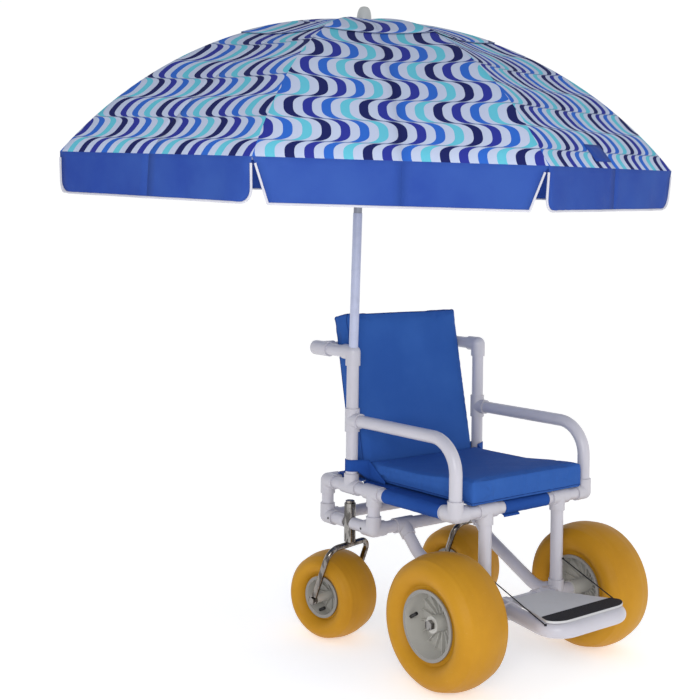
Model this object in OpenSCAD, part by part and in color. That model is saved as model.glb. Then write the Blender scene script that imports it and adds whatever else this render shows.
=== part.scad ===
// Beach wheelchair: a slip-fitted tube frame on balloon wheels, with cushions, a hinged footrest
// and a folding parasol standing in the right back post. Millimetres, +Z up, floor at z = 0.
// The origin lies on the floor, on the middle plane, below the front axle. The sitter faces -Y,
// so -X is the sitter's right.

/* [Wheels] */
// Outside diameter of a front balloon wheel
front_wheel_d = 420; // [400:2:440]
// Width of a front balloon wheel
front_wheel_w = 200; // [180:2:210]
// Diameter over the edge of a front rim
front_rim_d = 218; // [204:2:230]
// Width of a front rim over its two edges
front_rim_w = 162; // [150:2:170]
// Outside diameter of a caster wheel
caster_wheel_d = 298; // [280:2:312]
// Width of a caster wheel
caster_wheel_w = 186; // [170:2:196]
// Diameter over the edge of a caster rim
caster_rim_d = 142; // [132:2:150]
// Width of a caster rim over its two edges
caster_rim_w = 136; // [126:2:144]
// Diameter of the front axle rod
axle_d = 19; // [16:1:22]
// Length of the spacer between a front leg's fitting and its wheel
wheel_spacer = 22; // [14:1:30]
// Wall of a hub's barrel and web
hub_wall = 6; // [5:0.5:8]
// Wall of a tyre
tyre_wall = 6; // [4:0.5:9]
// Radial gap of a wheel's bore on its axle
run_gap = 0.05; // [0.03:0.01:0.08]

/* [Caster forks] */
// Distance that a caster axle trails behind its swivel axis
caster_trail = 70; // [55:1:80]
// Swivel of the right caster as stored, in degrees
right_swivel = 12.4; // [-20:0.2:20]
// Swivel of the left caster as stored, in degrees
left_swivel = 6; // [-20:0.2:20]
// Diameter of the bent fork tube
fork_tube_d = 21; // [18:0.5:24]
// Bend radius of the fork's shoulders
fork_bend_r = 45; // [38:1:52]
// Room between the caster's tread and the fork's crown
fork_crown_room = 36; // [28:1:46]
// Room between the caster's side and each fork arm
fork_side_room = 4.5; // [3:0.5:8]
// Diameter of the caster's axle bolt
caster_bolt_d = 16; // [14:1:18]
// Outside diameter of a caster's steel head tube
head_d = 40; // [38:0.5:42]
// Reach of a head tube below the caster box's lower tubes
head_below = 65.5; // [50:0.5:80]
// Reach of a head tube above the caster box's lower tubes
head_above = 67; // [50:0.5:75]
// Diameter of the fork's stem in the head tube
stem_d = 24; // [20:0.5:26]
// Length of each stub that joins a head tube to its box
head_stub = 80; // [70:1:82]

/* [Tube frame] */
// Outside diameter of the frame tube
tube_d = 42.2; // [40:0.2:44]
// Wall of the frame tube
tube_wall = 3.6; // [3:0.1:4]
// Outside diameter of a slip fitting
fitting_d = 52; // [50:0.5:56]
// Reach of a fitting's socket from its centre
fitting_reach = 45; // [42:1:50]
// Reach of a tee's run to each side of its centre
tee_reach = 40; // [36:1:44]
// Slip gap between a tube and its fitting
slip_gap = 0.1; // [0.05:0.01:0.2]
// Distance between the two side rails
rail_spacing = 604; // [590:2:640]
// Distance from the front rail to the rear rail
rail_length = 652; // [640:2:680]
// Distance from the back posts to the rear rail
post_inset = 133; // [127:1:142]
// Length of the caster boxes between tube centres
box_length = 255; // [250:1:262]
// Distance from the casters' swivel axes to the rear rail
stem_inset = 127; // [122:1:132]
// Height of the caster boxes between tube centres
box_height = 125; // [118:1:140]
// Height of the arm tubes above the side rails
arm_height = 231; // [200:1:260]
// Bend radius of the arm tubes
arm_bend_r = 107; // [90:1:120]
// Height of the push bar above the side rails
handle_height = 464; // [440:1:480]
// Length of a handle arm behind the push bar
handle_tail = 41; // [41:1:80]
// Distance between the two front legs
leg_spacing = 340; // [330:2:352]
// Slope of a strut where it leaves the caster box, in degrees
strut_top_slope = 46; // [42:1:50]
// Length of a strut's upper leg
strut_top_length = 111; // [100:1:120]
// Length of a strut's level foot behind the front leg
strut_foot_length = 95; // [85:1:105]
// Bend radius of the struts
strut_bend_r = 110; // [90:1:120]
// Diameter of the set screws
screw_d = 8; // [6:0.5:9]

/* [Cushions] */
// Width of the seat cushion
seat_w = 520; // [500:2:526]
// Thickness of the seat cushion
seat_t = 76; // [60:1:90]
// Overhang of the seat cushion in front of the front rail
seat_overhang = 36; // [30:1:50]
// Width of the back cushion
back_w = 530; // [510:2:534]
// Thickness of the back cushion
back_t = 84; // [70:1:90]
// Length of the back cushion up its slope
back_length = 566; // [540:2:600]
// Slope of the back cushion from upright, in degrees
back_slope = 11.7; // [10:0.1:13]
// Distance of the back cushion's lower front edge in front of the back posts
back_ahead = 28.5; // [23:0.5:31]
// Rounding of a cushion's edges
cushion_edge = 9; // [6:0.5:12]
// Crown in the middle of a cushion's broad faces
cushion_crown = 5; // [3:0.5:8]
// Pull-in of a cushion's sides between its corners
cushion_pull = 3; // [2:0.5:5]
// Thickness of the seat sling's cloth
sling_t = 2.4; // [2:0.1:3]

/* [Footrest] */
// Slope of the footrest, up towards its front, in degrees
footrest_slope = 1.8; // [1:0.1:4]
// Distance of the front bar from the footrest's hinge
footrest_length = 304; // [294:1:312]
// Splay of the footrest's side tubes, in degrees
footrest_splay = 15.1; // [13:0.1:16]
// Outside diameter of the bent footrest tube
footrest_tube_d = 48.3; // [46:0.1:50]
// Bend radius of the footrest tube's corners
footrest_bend_r = 60; // [54:1:66]
// Half length of a footrest hinge tee
hinge_reach = 32; // [28:1:35]
// Thickness of the footrest plate
plate_t = 7; // [6:0.5:12]
// Half width of the plate at its rear edge
plate_rear_half = 84; // [76:1:88]
// Distance of the plate's rear edge from the hinge
plate_rear = 44; // [40:1:50]
// Half width of the plate where the grip strip starts
plate_front_half = 162; // [158:1:166]
// Half width of the plate at the widest part of the grip strip
plate_wide_half = 172; // [168:1:176]
// Distance of the plate's widest part from the hinge
plate_wide = 264; // [258:1:268]
// Distance of the grip strip's rear edge from the hinge
grip_rear = 237; // [230:1:242]
// Thickness of the grip strip
grip_t = 2.5; // [2:0.1:4]
// Diameter of the footrest cords
cord_d = 4; // [3:0.5:5]
// Height of the cords' upper ends above the front axle
cord_rise = 116; // [104:1:124]

/* [Parasol] */
// Outside diameter of the lower pole
lower_pole_d = 32; // [31:0.1:32.2]
// Wall of the lower pole
lower_pole_wall = 1.4; // [1.2:0.1:1.6]
// Length of the lower pole above its foot
lower_pole_length = 546; // [540:2:600]
// Wall of the upper pole
upper_pole_wall = 1.6; // [1.2:0.1:2]
// Depth that the pole stands in the back post
pole_depth = 40; // [32:1:42]
// Lean of the pole to the front, in degrees
lean_front = 3; // [1.5:0.1:3]
// Lean of the pole to the sitter's right, in degrees
lean_side = 1; // [0:0.1:1]
// Height of the canopy's top above the middle of the pole's seat
canopy_top = 1180; // [1160:1:1210]
// Radius of the canopy at its corners
canopy_r = 1032; // [1000:2:1050]
// Rise of the canopy from its rim to its top
canopy_rise = 478; // [460:1:500]
// Drop of the valance below the rim
valance_drop = 122; // [100:1:140]
// Cut-back of a valance's lower corner from its rib
valance_cut = 42; // [10:1:60]
// Thickness of the canopy's cloth
cloth_t = 1.6; // [1.4:0.1:2]
// Turn of the first rib from +X, in degrees
rib_turn = 170.3; // [160:0.1:180]
// Diameter of a rib
rib_d = 6; // [5:0.2:6.4]
// Distance from the pole's axis to a rib's hinge
rib_hinge_r = 30; // [29:0.5:32]
// Distance from the pole's axis to the stretcher pins
stretcher_r = 320; // [300:2:322]
// Diameter of a stretcher
stretcher_d = 5; // [4:0.2:5.6]
// Length of the rib that the canopy's corner covers past the rib's tip
rib_tip_short = 22; // [20:1:40]

/* [Hidden] */
$fn = 48;
RIBS = 8;
rib_step = 360 / RIBS;
eps = 0.01;
seat_gap = 0.3;
bend_lap = 2;
bend_thin = 0.12;
tyre_fullness = 0.95;
rim_lip = 4;
rim_slope = 2.8;

// Turns that point a piece built along +Z another way
UP = [0, 0, 0];
DOWN = [180, 0, 0];
FRONT = [90, 0, 0];
REAR = [-90, 0, 0];
RIGHT = [0, -90, 0];
LEFT = [0, 90, 0];

// Heights and places of the frame
tube_r = tube_d / 2;
tube_bore_d = tube_d - 2 * tube_wall;
socket_d = tube_d + 2 * slip_gap;
socket_floor = tube_r + 2.4;
tube_start = socket_floor + 0.5;
fitting_r = fitting_d / 2;
rail_x = rail_spacing / 2;
leg_x = leg_spacing / 2;
post_setback = rail_length - post_inset;
box_setback = rail_length - box_length;
stem_setback = rail_length - stem_inset;
back_setback = post_setback - back_ahead;
front_r = front_wheel_d / 2;
caster_r = caster_wheel_d / 2;
fork_r = fork_tube_d / 2;
fork_half = caster_wheel_w / 2 + fork_side_room + fork_r;
fork_length = caster_r + fork_crown_room + fork_r;
crown_rise = sqrt(fork_length * fork_length - caster_trail * caster_trail);
crown_z = caster_r + crown_rise;
fork_lean = atan2(caster_trail, crown_rise);
lower_z = crown_z + fork_r + head_below;
rail_z = lower_z + box_height;
axle_z = front_r;
arm_z = rail_z + arm_height;
handle_z = rail_z + handle_height;
wheel_x = leg_x + fitting_reach + wheel_spacer + front_wheel_w / 2;
cross_in = 38;
hinge_gap = 5.5;
hinge_x = leg_x - cross_in - hinge_gap - hinge_reach;
axle_tube_half = wheel_x - front_wheel_w / 2 - 0.5;
lug_w = 8;
hub_half = fork_half - lug_w / 2 - seat_gap;
screw_setin = fitting_reach - screw_d;
cap_t = 4;
nut_h = 14;
nut_inset = 26;
front_boss_d = 52;
front_ribs = 18;
front_rib_rise = 16;
caster_nut_h = 9;
caster_boss_d = 30;
caster_ribs = 12;
caster_rib_rise = 12;

// Cushions and sling
sling_inner_r = tube_r + slip_gap;
sling_outer_r = sling_inner_r + sling_t;
sling_top = rail_z + sling_outer_r;
seat_z = rail_z + fitting_r + seat_gap;
back_low_z = sling_top + seat_gap + back_t * sin(back_slope);
back_face_y = back_setback + (handle_z - back_low_z) * tan(back_slope);
handle_y = back_face_y + back_t / cos(back_slope) + fitting_r + seat_gap;
seat_back_y = back_setback - (back_low_z - seat_z) * tan(back_slope) - cushion_crown - 1;

// Strut route in the plane of a front leg, as points of distance behind the leg and height
strut_knee = [
    box_setback - strut_top_length * cos(strut_top_slope),
    lower_z - strut_top_length * sin(strut_top_slope)];
strut_route = [
    [box_setback - tube_start * cos(strut_top_slope), lower_z - tube_start * sin(strut_top_slope)],
    strut_knee,
    [strut_foot_length, axle_z],
    [tube_start, axle_z]];
arm_route = [[post_setback - tube_start, arm_z], [0, arm_z], [0, rail_z + tube_start]];

// Footrest outline about its hinge, in the plane of its tube
splay_run = tan(footrest_splay);
corner_x = hinge_x + footrest_length * splay_run;
footrest_inset = tube_r + 1 + footrest_tube_d / 2 * sin(footrest_splay);
footrest_start = [hinge_x + footrest_inset * splay_run, -footrest_inset];
footrest_route = [
    [-footrest_start[0], footrest_start[1]],
    [-corner_x, -footrest_length],
    [corner_x, -footrest_length],
    footrest_start];
footrest_r = footrest_tube_d / 2;
plate_z = footrest_r + slip_gap;
plate_nose = footrest_length + 3;
plate_nose_half = corner_x - footrest_bend_r - 12;

// Ends of a cord: in front of a leg, and on the outer shoulder of the footrest's bend
cord_leg_turn = 17;
cord_bend_turn = -15;
cord_tilt = 42;
cord_leg_r = tube_r + cord_d / 2 + slip_gap;
cord_bend_r = footrest_r + cord_d / 2 + seat_gap;
bend_centre = [
    corner_x - footrest_bend_r * (1 + sin(footrest_splay)) / cos(footrest_splay),
    footrest_bend_r - footrest_length];
cord_out = footrest_bend_r + cord_bend_r * cos(cord_tilt);
cord_across = bend_centre[1] + cord_out * sin(cord_bend_turn);
cord_up = cord_bend_r * sin(cord_tilt);
cord_top = [
    leg_x + cord_leg_r * sin(cord_leg_turn),
    -cord_leg_r * cos(cord_leg_turn),
    axle_z + cord_rise];
cord_foot = [
    bend_centre[0] + cord_out * cos(cord_bend_turn),
    cord_across * cos(footrest_slope) + cord_up * sin(footrest_slope),
    axle_z - cord_across * sin(footrest_slope) + cord_up * cos(footrest_slope)];

// Pole, ribs and canopy, measured in the parasol's own frame with +Z along the pole
post_top = handle_z - tube_start;
pole_foot = [-rail_x, post_setback, post_top - pole_depth / 2];
pole_low = -pole_depth / 2;
pole_floor = 10;
pole_play = 0.5;
lower_pole_bore = lower_pole_d - 2 * lower_pole_wall;
upper_pole_d = lower_pole_bore - 4 * run_gap;
upper_pole_r = upper_pole_d / 2;
arc_r = (canopy_r * canopy_r + canopy_rise * canopy_rise) / (2 * canopy_rise);
arc_z = canopy_top - arc_r;
rib_room = 2.6;
rib_drop = cloth_t + rib_d / 2 + rib_room;
rib_arc_r = arc_r - rib_drop;
rib_tip_r = canopy_r - rib_tip_short;
eye_r = 4.5;
pin_eye_r = 3.6;
eye_w = rib_d + 0.4;
rib_root = 1.3;
pin_d = 3;
stretcher_pin_d = 4;
stretcher_side = 7;
stretcher_eye_w = 5.6;
hinge_z = canopy_top - cloth_t - eye_r - 3;
function rib_z(r) = arc_z + sqrt(rib_arc_r * rib_arc_r - r * r);
function canopy_z(r) = arc_z + sqrt(arc_r * arc_r - r * r);
stretcher_z = rib_z(stretcher_r);
runner_z = hinge_z - 2 * (hinge_z - stretcher_z);
crown_top = canopy_top - cloth_t - 2.5;
crown_r = rib_hinge_r + eye_r + 2.5;
crown_slot_r = rib_hinge_r - eye_r - 1;
stud_d = 16;

PVC = [0.83, 0.83, 0.86];
VINYL = [0.16, 0.32, 0.62];
STEEL = [0.62, 0.62, 0.64];
TYRE = [0.83, 0.58, 0.12];
HUB = [0.6, 0.59, 0.57];

// Shared shapes

module both_sides() {
    children();
    mirror([1, 0, 0])
        children();
}

module tube_along(way, length) {
    rotate(way)
        difference() {
            cylinder(h = length, d = tube_d);
            translate([0, 0, -eps])
                cylinder(h = length + 2 * eps, d = tube_bore_d);
        }
}

module fitting_body(ways) {
    sphere(d = fitting_d);
    for (way = ways)
        rotate(way)
            cylinder(h = fitting_reach, d = fitting_d);
}

module sockets(ways) {
    for (way = ways)
        rotate(way)
            translate([0, 0, socket_floor])
                cylinder(h = fitting_reach, d = socket_d);
}

module corner_fitting(ways) {
    difference() {
        fitting_body(ways);
        sockets(ways);
    }
}

module tee_fitting(run, branch) {
    difference() {
        union() {
            rotate(run)
                cylinder(h = 2 * tee_reach, d = fitting_d, center = true);
            rotate(branch)
                cylinder(h = fitting_reach, d = fitting_d);
        }
        rotate(run)
            cylinder(h = 2 * tee_reach + 1, d = socket_d, center = true);
        sockets([branch]);
    }
}

function heading(a, b) = atan2(b[1] - a[1], b[0] - a[0]);
function turn_at(a, b, c) = ((heading(b, c) - heading(a, b) + 540) % 360) - 180;
function step_from(p, angle, length) = p + length * [cos(angle), sin(angle)];
function bend_reach(route, i, r) = (i == 0 || i == len(route) - 1)
    ? 0
    : r * tan(abs(turn_at(route[i - 1], route[i], route[i + 1])) / 2);

// The round section of a rod, or of a tube when it has a bore
module round_section(d, bore) {
    difference() {
        circle(d = d);
        if (bore > 0)
            circle(d = bore);
    }
}

// A round rod or tube along a flat route in the XY plane, with every inner corner bent to radius r.
// Bending thins the wall a little, and each straight run laps into the bend that it meets.
module bent_rod(route, r, d, bore = 0) {
    last = len(route) - 1;
    for (i = [0:last - 1]) {
        a = heading(route[i], route[i + 1]);
        head_lap = i == 0 ? 0 : bend_lap;
        tail_lap = i == last - 1 ? 0 : bend_lap;
        from = step_from(route[i], a, bend_reach(route, i, r) - head_lap);
        to = step_from(route[i + 1], a, tail_lap - bend_reach(route, i + 1, r));
        translate([from[0], from[1], 0])
            rotate([0, 90, a])
                linear_extrude(height = norm(to - from))
                    round_section(d, bore);
    }
    for (i = [1:last - 1]) {
        turn = turn_at(route[i - 1], route[i], route[i + 1]);
        side = turn > 0 ? 90 : -90;
        enter = heading(route[i - 1], route[i]);
        leave = heading(route[i], route[i + 1]);
        touch = step_from(route[i], enter, -bend_reach(route, i, r));
        centre = step_from(touch, enter + side, r);
        translate([centre[0], centre[1], 0])
            rotate([0, 0, turn > 0 ? enter - side : leave - side])
                rotate_extrude(angle = abs(turn))
                    translate([r, 0])
                        round_section(d - 2 * bend_thin, bore > 0 ? bore + 2 * bend_thin : 0);
    }
}

module bent_tube(route, r) {
    bent_rod(route, r, tube_d, tube_bore_d);
}

// Stands an XY shape up in the plane of +Y and +Z
module in_side_plane() {
    rotate([90, 0, 90])
        children();
}

module screw(length) {
    cylinder(h = length, d = screw_d);
}

// Holes for the set screws that hold a caster head's stubs, seen from the middle of the chair
module screw_holes() {
    for (y = [rail_length - screw_setin, box_setback + screw_setin])
        translate([rail_x, y, lower_z])
            rotate(LEFT)
                cylinder(h = fitting_d, d = screw_d + 2 * slip_gap);
}

// Frame tubes

module side_rails() {
    color(PVC)
        both_sides()
            translate([rail_x, tube_start, rail_z])
                tube_along(REAR, rail_length - 2 * tube_start);
}

module cross_rails() {
    half = rail_x - tube_start;
    color(PVC) {
        for (at = [[0, rail_z], [rail_length, rail_z], [rail_length, lower_z], [box_setback, lower_z]])
            translate([-half, at[0], at[1]])
                tube_along(LEFT, 2 * half);
        translate([-axle_tube_half, 0, axle_z])
            tube_along(LEFT, 2 * axle_tube_half);
    }
}

module pole_stop_axis() {
    foot_dip = pole_depth / 2 + lower_pole_d / 2 * sin(lean_front + lean_side);
    translate([-rail_x, post_setback, pole_foot[2] - foot_dip - screw_d / 2 - seat_gap])
        rotate(LEFT)
            children();
}

module posts() {
    color(PVC)
        difference() {
            both_sides()
                translate([rail_x, post_setback, rail_z + tube_start])
                    tube_along(UP, handle_height - 2 * tube_start);
            pole_stop_axis()
                cylinder(h = fitting_d, d = screw_d + 2 * slip_gap, center = true);
        }
}

module armrests() {
    color(PVC)
        for (x = [-rail_x, rail_x])
            translate([x, 0, 0])
                in_side_plane()
                    bent_tube(arm_route, arm_bend_r);
}

module caster_frame_tubes() {
    upright = box_height - 2 * tube_start;
    rear_end = stem_setback + head_d / 2 + 0.5;
    front_end = stem_setback - head_d / 2 - 0.5;
    color(PVC)
        both_sides()
            difference() {
                union() {
                    for (y = [box_setback, rail_length])
                        translate([rail_x, y, lower_z + tube_start])
                            tube_along(UP, upright);
                    translate([rail_x, rear_end, lower_z])
                        tube_along(REAR, rail_length - tube_start - rear_end);
                    translate([rail_x, box_setback + tube_start, lower_z])
                        tube_along(REAR, front_end - box_setback - tube_start);
                }
                screw_holes();
            }
}

module leg_tubes() {
    color(PVC)
        for (x = [-leg_x, leg_x])
            translate([x, 0, 0]) {
                translate([0, 0, axle_z + tube_start])
                    tube_along(UP, rail_z - axle_z - 2 * tube_start);
                in_side_plane()
                    bent_tube(strut_route, strut_bend_r);
            }
}

module push_handle() {
    bar_half = rail_x - tube_start;
    arm_from = post_setback + tube_start;
    arm_to = handle_y + handle_tail;
    plug = 14;
    color(PVC) {
        translate([-bar_half, handle_y, handle_z])
            tube_along(LEFT, 2 * bar_half);
        both_sides() {
            translate([rail_x, arm_from, handle_z])
                tube_along(REAR, arm_to - arm_from);
            translate([rail_x, arm_to, handle_z])
                rotate(REAR) {
                    cylinder(h = cap_t, d = fitting_d - 2);
                    translate([0, 0, -plug])
                        cylinder(h = plug, d = tube_bore_d - 2 * slip_gap);
                }
        }
    }
}

// Slip fittings

module corner_fittings() {
    color(PVC)
        both_sides() {
            translate([rail_x, 0, rail_z])
                corner_fitting([REAR, RIGHT, UP]);
            translate([rail_x, rail_length, rail_z])
                corner_fitting([FRONT, RIGHT, DOWN]);
            difference() {
                union() {
                    translate([rail_x, rail_length, lower_z])
                        corner_fitting([FRONT, RIGHT, UP]);
                    translate([rail_x, box_setback, lower_z])
                        corner_fitting([REAR, RIGHT, UP]);
                }
                screw_holes();
            }
        }
}

module tee_fittings() {
    color(PVC)
        both_sides() {
            translate([rail_x, post_setback, rail_z])
                tee_fitting(FRONT, UP);
            translate([rail_x, box_setback, rail_z])
                tee_fitting(FRONT, DOWN);
            translate([rail_x, post_setback, arm_z])
                tee_fitting(UP, FRONT);
            translate([rail_x, handle_y, handle_z])
                tee_fitting(FRONT, RIGHT);
            translate([leg_x, 0, rail_z])
                tee_fitting(LEFT, DOWN);
            translate([leg_x, box_setback, lower_z])
                tee_fitting(LEFT, FRONT + [strut_top_slope, 0, 0]);
        }
}

module handle_elbows() {
    color(PVC)
        difference() {
            both_sides()
                translate([rail_x, post_setback, handle_z])
                    corner_fitting([DOWN, REAR]);
            parasol_place()
                cylinder(h = 4 * fitting_d, r = lower_pole_d / 2 + pole_play);
        }
}

module axle_crosses() {
    color(PVC)
        both_sides()
            translate([leg_x, 0, axle_z])
                difference() {
                    union() {
                        fitting_body([UP, REAR, LEFT]);
                        rotate(RIGHT)
                            cylinder(h = cross_in, d = fitting_d);
                    }
                    rotate(LEFT)
                        cylinder(h = 4 * fitting_reach, d = socket_d, center = true);
                    sockets([UP, REAR]);
                }
}

// Steel pieces of the frame

module set_screws() {
    shaft = fitting_r - tube_bore_d / 2 + 1;
    color(STEEL) {
        both_sides()
            for (y = [rail_length - screw_setin, box_setback + screw_setin])
                translate([rail_x + tube_bore_d / 2, y, lower_z])
                    rotate(LEFT)
                        screw(shaft);
        pole_stop_axis()
            cylinder(h = tube_d + 1, d = screw_d, center = true);
    }
}

module caster_heads() {
    color(STEEL)
        both_sides()
            translate([rail_x, stem_setback, lower_z])
                difference() {
                    union() {
                        translate([0, 0, -head_below])
                            cylinder(h = head_below + head_above, d = head_d);
                        for (way = [FRONT, REAR])
                            rotate(way)
                                cylinder(h = head_d / 2 + head_stub, d = tube_bore_d - 2 * slip_gap);
                    }
                    cylinder(h = 4 * head_above, d = stem_d + 2 * run_gap, center = true);
                }
}

module wheel_axle() {
    reach = wheel_x + front_wheel_w / 2 - nut_inset;
    color(STEEL)
        translate([0, 0, axle_z])
            rotate(LEFT) {
                cylinder(h = 2 * reach, d = axle_d, center = true);
                for (end = [0, 1])
                    mirror([0, 0, end]) {
                        translate([0, 0, leg_x])
                            cylinder(h = axle_tube_half - leg_x, d = tube_bore_d - 2 * slip_gap);
                        translate([0, 0, reach - nut_h])
                            cylinder(h = nut_h, d = 1.7 * axle_d, $fn = 6);
                    }
            }
}

// Wheels, each about its own axle along +X with the outer side at +X

// One skin of a balloon tyre's section, from bead to bead over the tread
function tyre_skin(centre_r, rise, half, bead_turn, n = 22) = [
    for (k = [0:n])
        let (a = -bead_turn + (180 + 2 * bead_turn) * k / n)
        [centre_r + rise * fuller(sin(a)), half * fuller(cos(a))]];
function fuller(v) = sign(v) * pow(abs(v), tyre_fullness);
function backwards(list) = [for (k = [len(list) - 1:-1:0]) list[k]];

module tyre(d, w, rim_d, rim_w) {
    seat = rim_d / 2 - rim_lip;
    centre_r = (d / 2 + seat) / 2;
    rise = d / 2 - centre_r;
    bead = rim_w / 2 - hub_wall - rim_slope - 0.4;
    bead_turn = acos(pow(2 * bead / w, 1 / tyre_fullness));
    inner_bead = bead - tyre_wall - 3;
    color(TYRE)
        rotate(LEFT)
            rotate_extrude($fn = 96)
                polygon(concat(
                    [[seat, bead]],
                    tyre_skin(centre_r, rise, w / 2, bead_turn),
                    [[seat, -bead], [seat, -inner_bead]],
                    backwards(tyre_skin(centre_r, rise - tyre_wall, w / 2 - tyre_wall, bead_turn)),
                    [[seat, inner_bead]]));
}

// A moulded hub: barrel with two rim edges, a web near the middle, a boss and ribs on both faces
module hub(rim_d, rim_w, boss_half_in, boss_half_out, bore_d, boss_d, ribs, rib_rise) {
    rim_r = rim_d / 2;
    half = rim_w / 2;
    barrel_r = rim_r - rim_lip - 0.2;
    rib_t = hub_wall * 0.4;
    color(HUB)
        rotate(LEFT)
            difference() {
                union() {
                    rotate_extrude($fn = 96)
                        polygon([
                            [barrel_r - hub_wall, -half], [rim_r, -half], [rim_r, -half + hub_wall],
                            [barrel_r, -half + hub_wall + rim_slope],
                            [barrel_r, half - hub_wall - rim_slope],
                            [rim_r, half - hub_wall], [rim_r, half], [barrel_r - hub_wall, half]]);
                    translate([0, 0, -hub_wall / 2])
                        cylinder(h = hub_wall, r = barrel_r - hub_wall + 1);
                    translate([0, 0, -boss_half_in])
                        cylinder(h = boss_half_in + boss_half_out, d = boss_d);
                    for (k = [1:ribs])
                        rotate([0, 0, 360 * k / ribs])
                            translate([boss_d / 2 - 2, -rib_t / 2, -rib_rise])
                                cube([barrel_r - hub_wall - boss_d / 2 + 3, rib_t, 2 * rib_rise]);
                }
                cylinder(h = 4 * rim_w, d = bore_d, center = true);
            }
}

module front_wheel_place(side) {
    translate([side * wheel_x, 0, axle_z])
        mirror([side < 0 ? 1 : 0, 0, 0])
            children();
}

module caster_place(side) {
    translate([side * rail_x, stem_setback, 0])
        rotate([0, 0, side < 0 ? right_swivel : left_swivel])
            children();
}

module caster_wheel_place(side) {
    caster_place(side)
        translate([0, caster_trail, caster_r])
            mirror([side < 0 ? 1 : 0, 0, 0])
                children();
}

module front_tyre(side) {
    front_wheel_place(side)
        tyre(front_wheel_d, front_wheel_w, front_rim_d, front_rim_w);
}

module front_hub(side) {
    front_wheel_place(side)
        hub(front_rim_d, front_rim_w, front_wheel_w / 2, front_wheel_w / 2 - nut_inset - nut_h - seat_gap,
            axle_d + 2 * run_gap, front_boss_d, front_ribs, front_rib_rise);
}

module caster_tyre(side) {
    caster_wheel_place(side)
        tyre(caster_wheel_d, caster_wheel_w, caster_rim_d, caster_rim_w);
}

module caster_hub(side) {
    caster_wheel_place(side)
        hub(caster_rim_d, caster_rim_w, hub_half, hub_half,
            caster_bolt_d + 2 * run_gap, caster_boss_d, caster_ribs, caster_rib_rise);
}

module caster_fork(side) {
    lug_d = caster_bolt_d + 18;
    cap_z = lower_z + head_above;
    color(STEEL)
        caster_place(side) {
            difference() {
                union() {
                    translate([0, 0, crown_z])
                        rotate([90 + fork_lean, 0, 0])
                            bent_rod(
                                [[-fork_half, -fork_length], [-fork_half, 0],
                                 [fork_half, 0], [fork_half, -fork_length]],
                                fork_bend_r, fork_tube_d);
                    translate([0, caster_trail, caster_r])
                        for (x = [-fork_half, fork_half])
                            translate([x, 0, 0])
                                rotate(LEFT)
                                    cylinder(h = lug_w, d = lug_d, center = true);
                    translate([0, 0, crown_z])
                        cylinder(h = cap_z - crown_z + 2, d = stem_d);
                    translate([0, 0, cap_z + seat_gap])
                        cylinder(h = caster_nut_h, d = head_d - 8, $fn = 6);
                }
                translate([0, caster_trail, caster_r])
                    rotate(LEFT)
                        cylinder(h = 4 * fork_half, d = caster_bolt_d + 2 * slip_gap, center = true);
                translate([0, caster_trail, caster_r])
                    rotate(LEFT)
                        cylinder(h = 2 * (fork_half - lug_w / 2), d = lug_d, center = true);
                for (x = [-1, 1])
                    translate([x * (fork_half + lug_w / 2 + fork_tube_d / 2), caster_trail, caster_r])
                        rotate(LEFT)
                            cylinder(h = fork_tube_d, d = lug_d, center = true);
            }
            translate([0, caster_trail, caster_r])
                rotate(LEFT) {
                    cylinder(h = 2 * fork_half + lug_w + 2, d = caster_bolt_d, center = true);
                    for (end = [0, 1])
                        mirror([0, 0, end])
                            translate([0, 0, fork_half + lug_w / 2])
                                cylinder(h = caster_nut_h, d = 1.5 * caster_bolt_d, $fn = 6);
                }
        }
}

// Cushions

// Outline of a cushion of width w and depth d, shrunk by inset, with its sides drawn in
function cushion_ring(w, d, inset, pull, side_steps = 10) = [
    for (side = [0:3], k = [0:side_steps - 1])
        let (
            v = -1 + 2 * k / side_steps,
            along = (side % 2 == 0 ? d : w) / 2 - inset,
            across = (side % 2 == 0 ? w : d) / 2 - inset,
            corner = cushion_edge * pow(abs(v), 12) * 0.5,
            x = across - pull * (1 - v * v) - corner,
            y = v * (along - corner * 0.5))
        [cos(90 * side) * x - sin(90 * side) * y, sin(90 * side) * x + cos(90 * side) * y]];

// Levels of a cushion from its lower to its upper crown: height and inset
function cushion_levels(t, crown, reach) = let (e = cushion_edge) [
    [0, reach * 0.5], [0, e], [e * 0.3, e * 0.3], [e, 0], [t - crown - e, 0],
    [t - crown - e * 0.3, e * 0.3], [t - crown, e], [t - crown * 0.55, reach * 0.22],
    [t - crown * 0.15, reach * 0.5], [t, reach * 0.8]];

module cushion(w, d, t, crown, pull) {
    levels = cushion_levels(t, crown, min(w, d) / 2);
    rings = [for (level = levels) [for (p = cushion_ring(w, d, level[1], pull)) [p[0], p[1], level[0]]]];
    n = len(rings[0]);
    count = len(rings);
    points = concat([for (ring = rings) each ring], [[0, 0, 0], [0, 0, t]]);
    faces = concat(
        [for (j = [0:count - 2], k = [0:n - 1])
            each [
                [j * n + k, (j + 1) * n + k, j * n + (k + 1) % n],
                [j * n + (k + 1) % n, (j + 1) * n + k, (j + 1) * n + (k + 1) % n]]],
        [for (k = [0:n - 1]) [count * n, k, (k + 1) % n]],
        [for (k = [0:n - 1]) [count * n + 1, (count - 1) * n + (k + 1) % n, (count - 1) * n + k]]);
    polyhedron(points = points, faces = faces);
}

module seat_cushion() {
    depth = seat_back_y + seat_overhang;
    color(VINYL)
        translate([0, depth / 2 - seat_overhang, seat_z])
            cushion(seat_w, depth, seat_t, cushion_crown, cushion_pull);
}

module back_cushion() {
    color(VINYL)
        translate([0, back_setback, back_low_z])
            rotate([90 - back_slope, 0, 0])
                translate([0, back_length / 2, -back_t])
                    cushion(back_w, back_length, back_t, cushion_crown, cushion_pull);
}

module sling_sleeve(length) {
    rotate_extrude()
        translate([sling_inner_r, 0])
            square([sling_t, length]);
}

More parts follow.
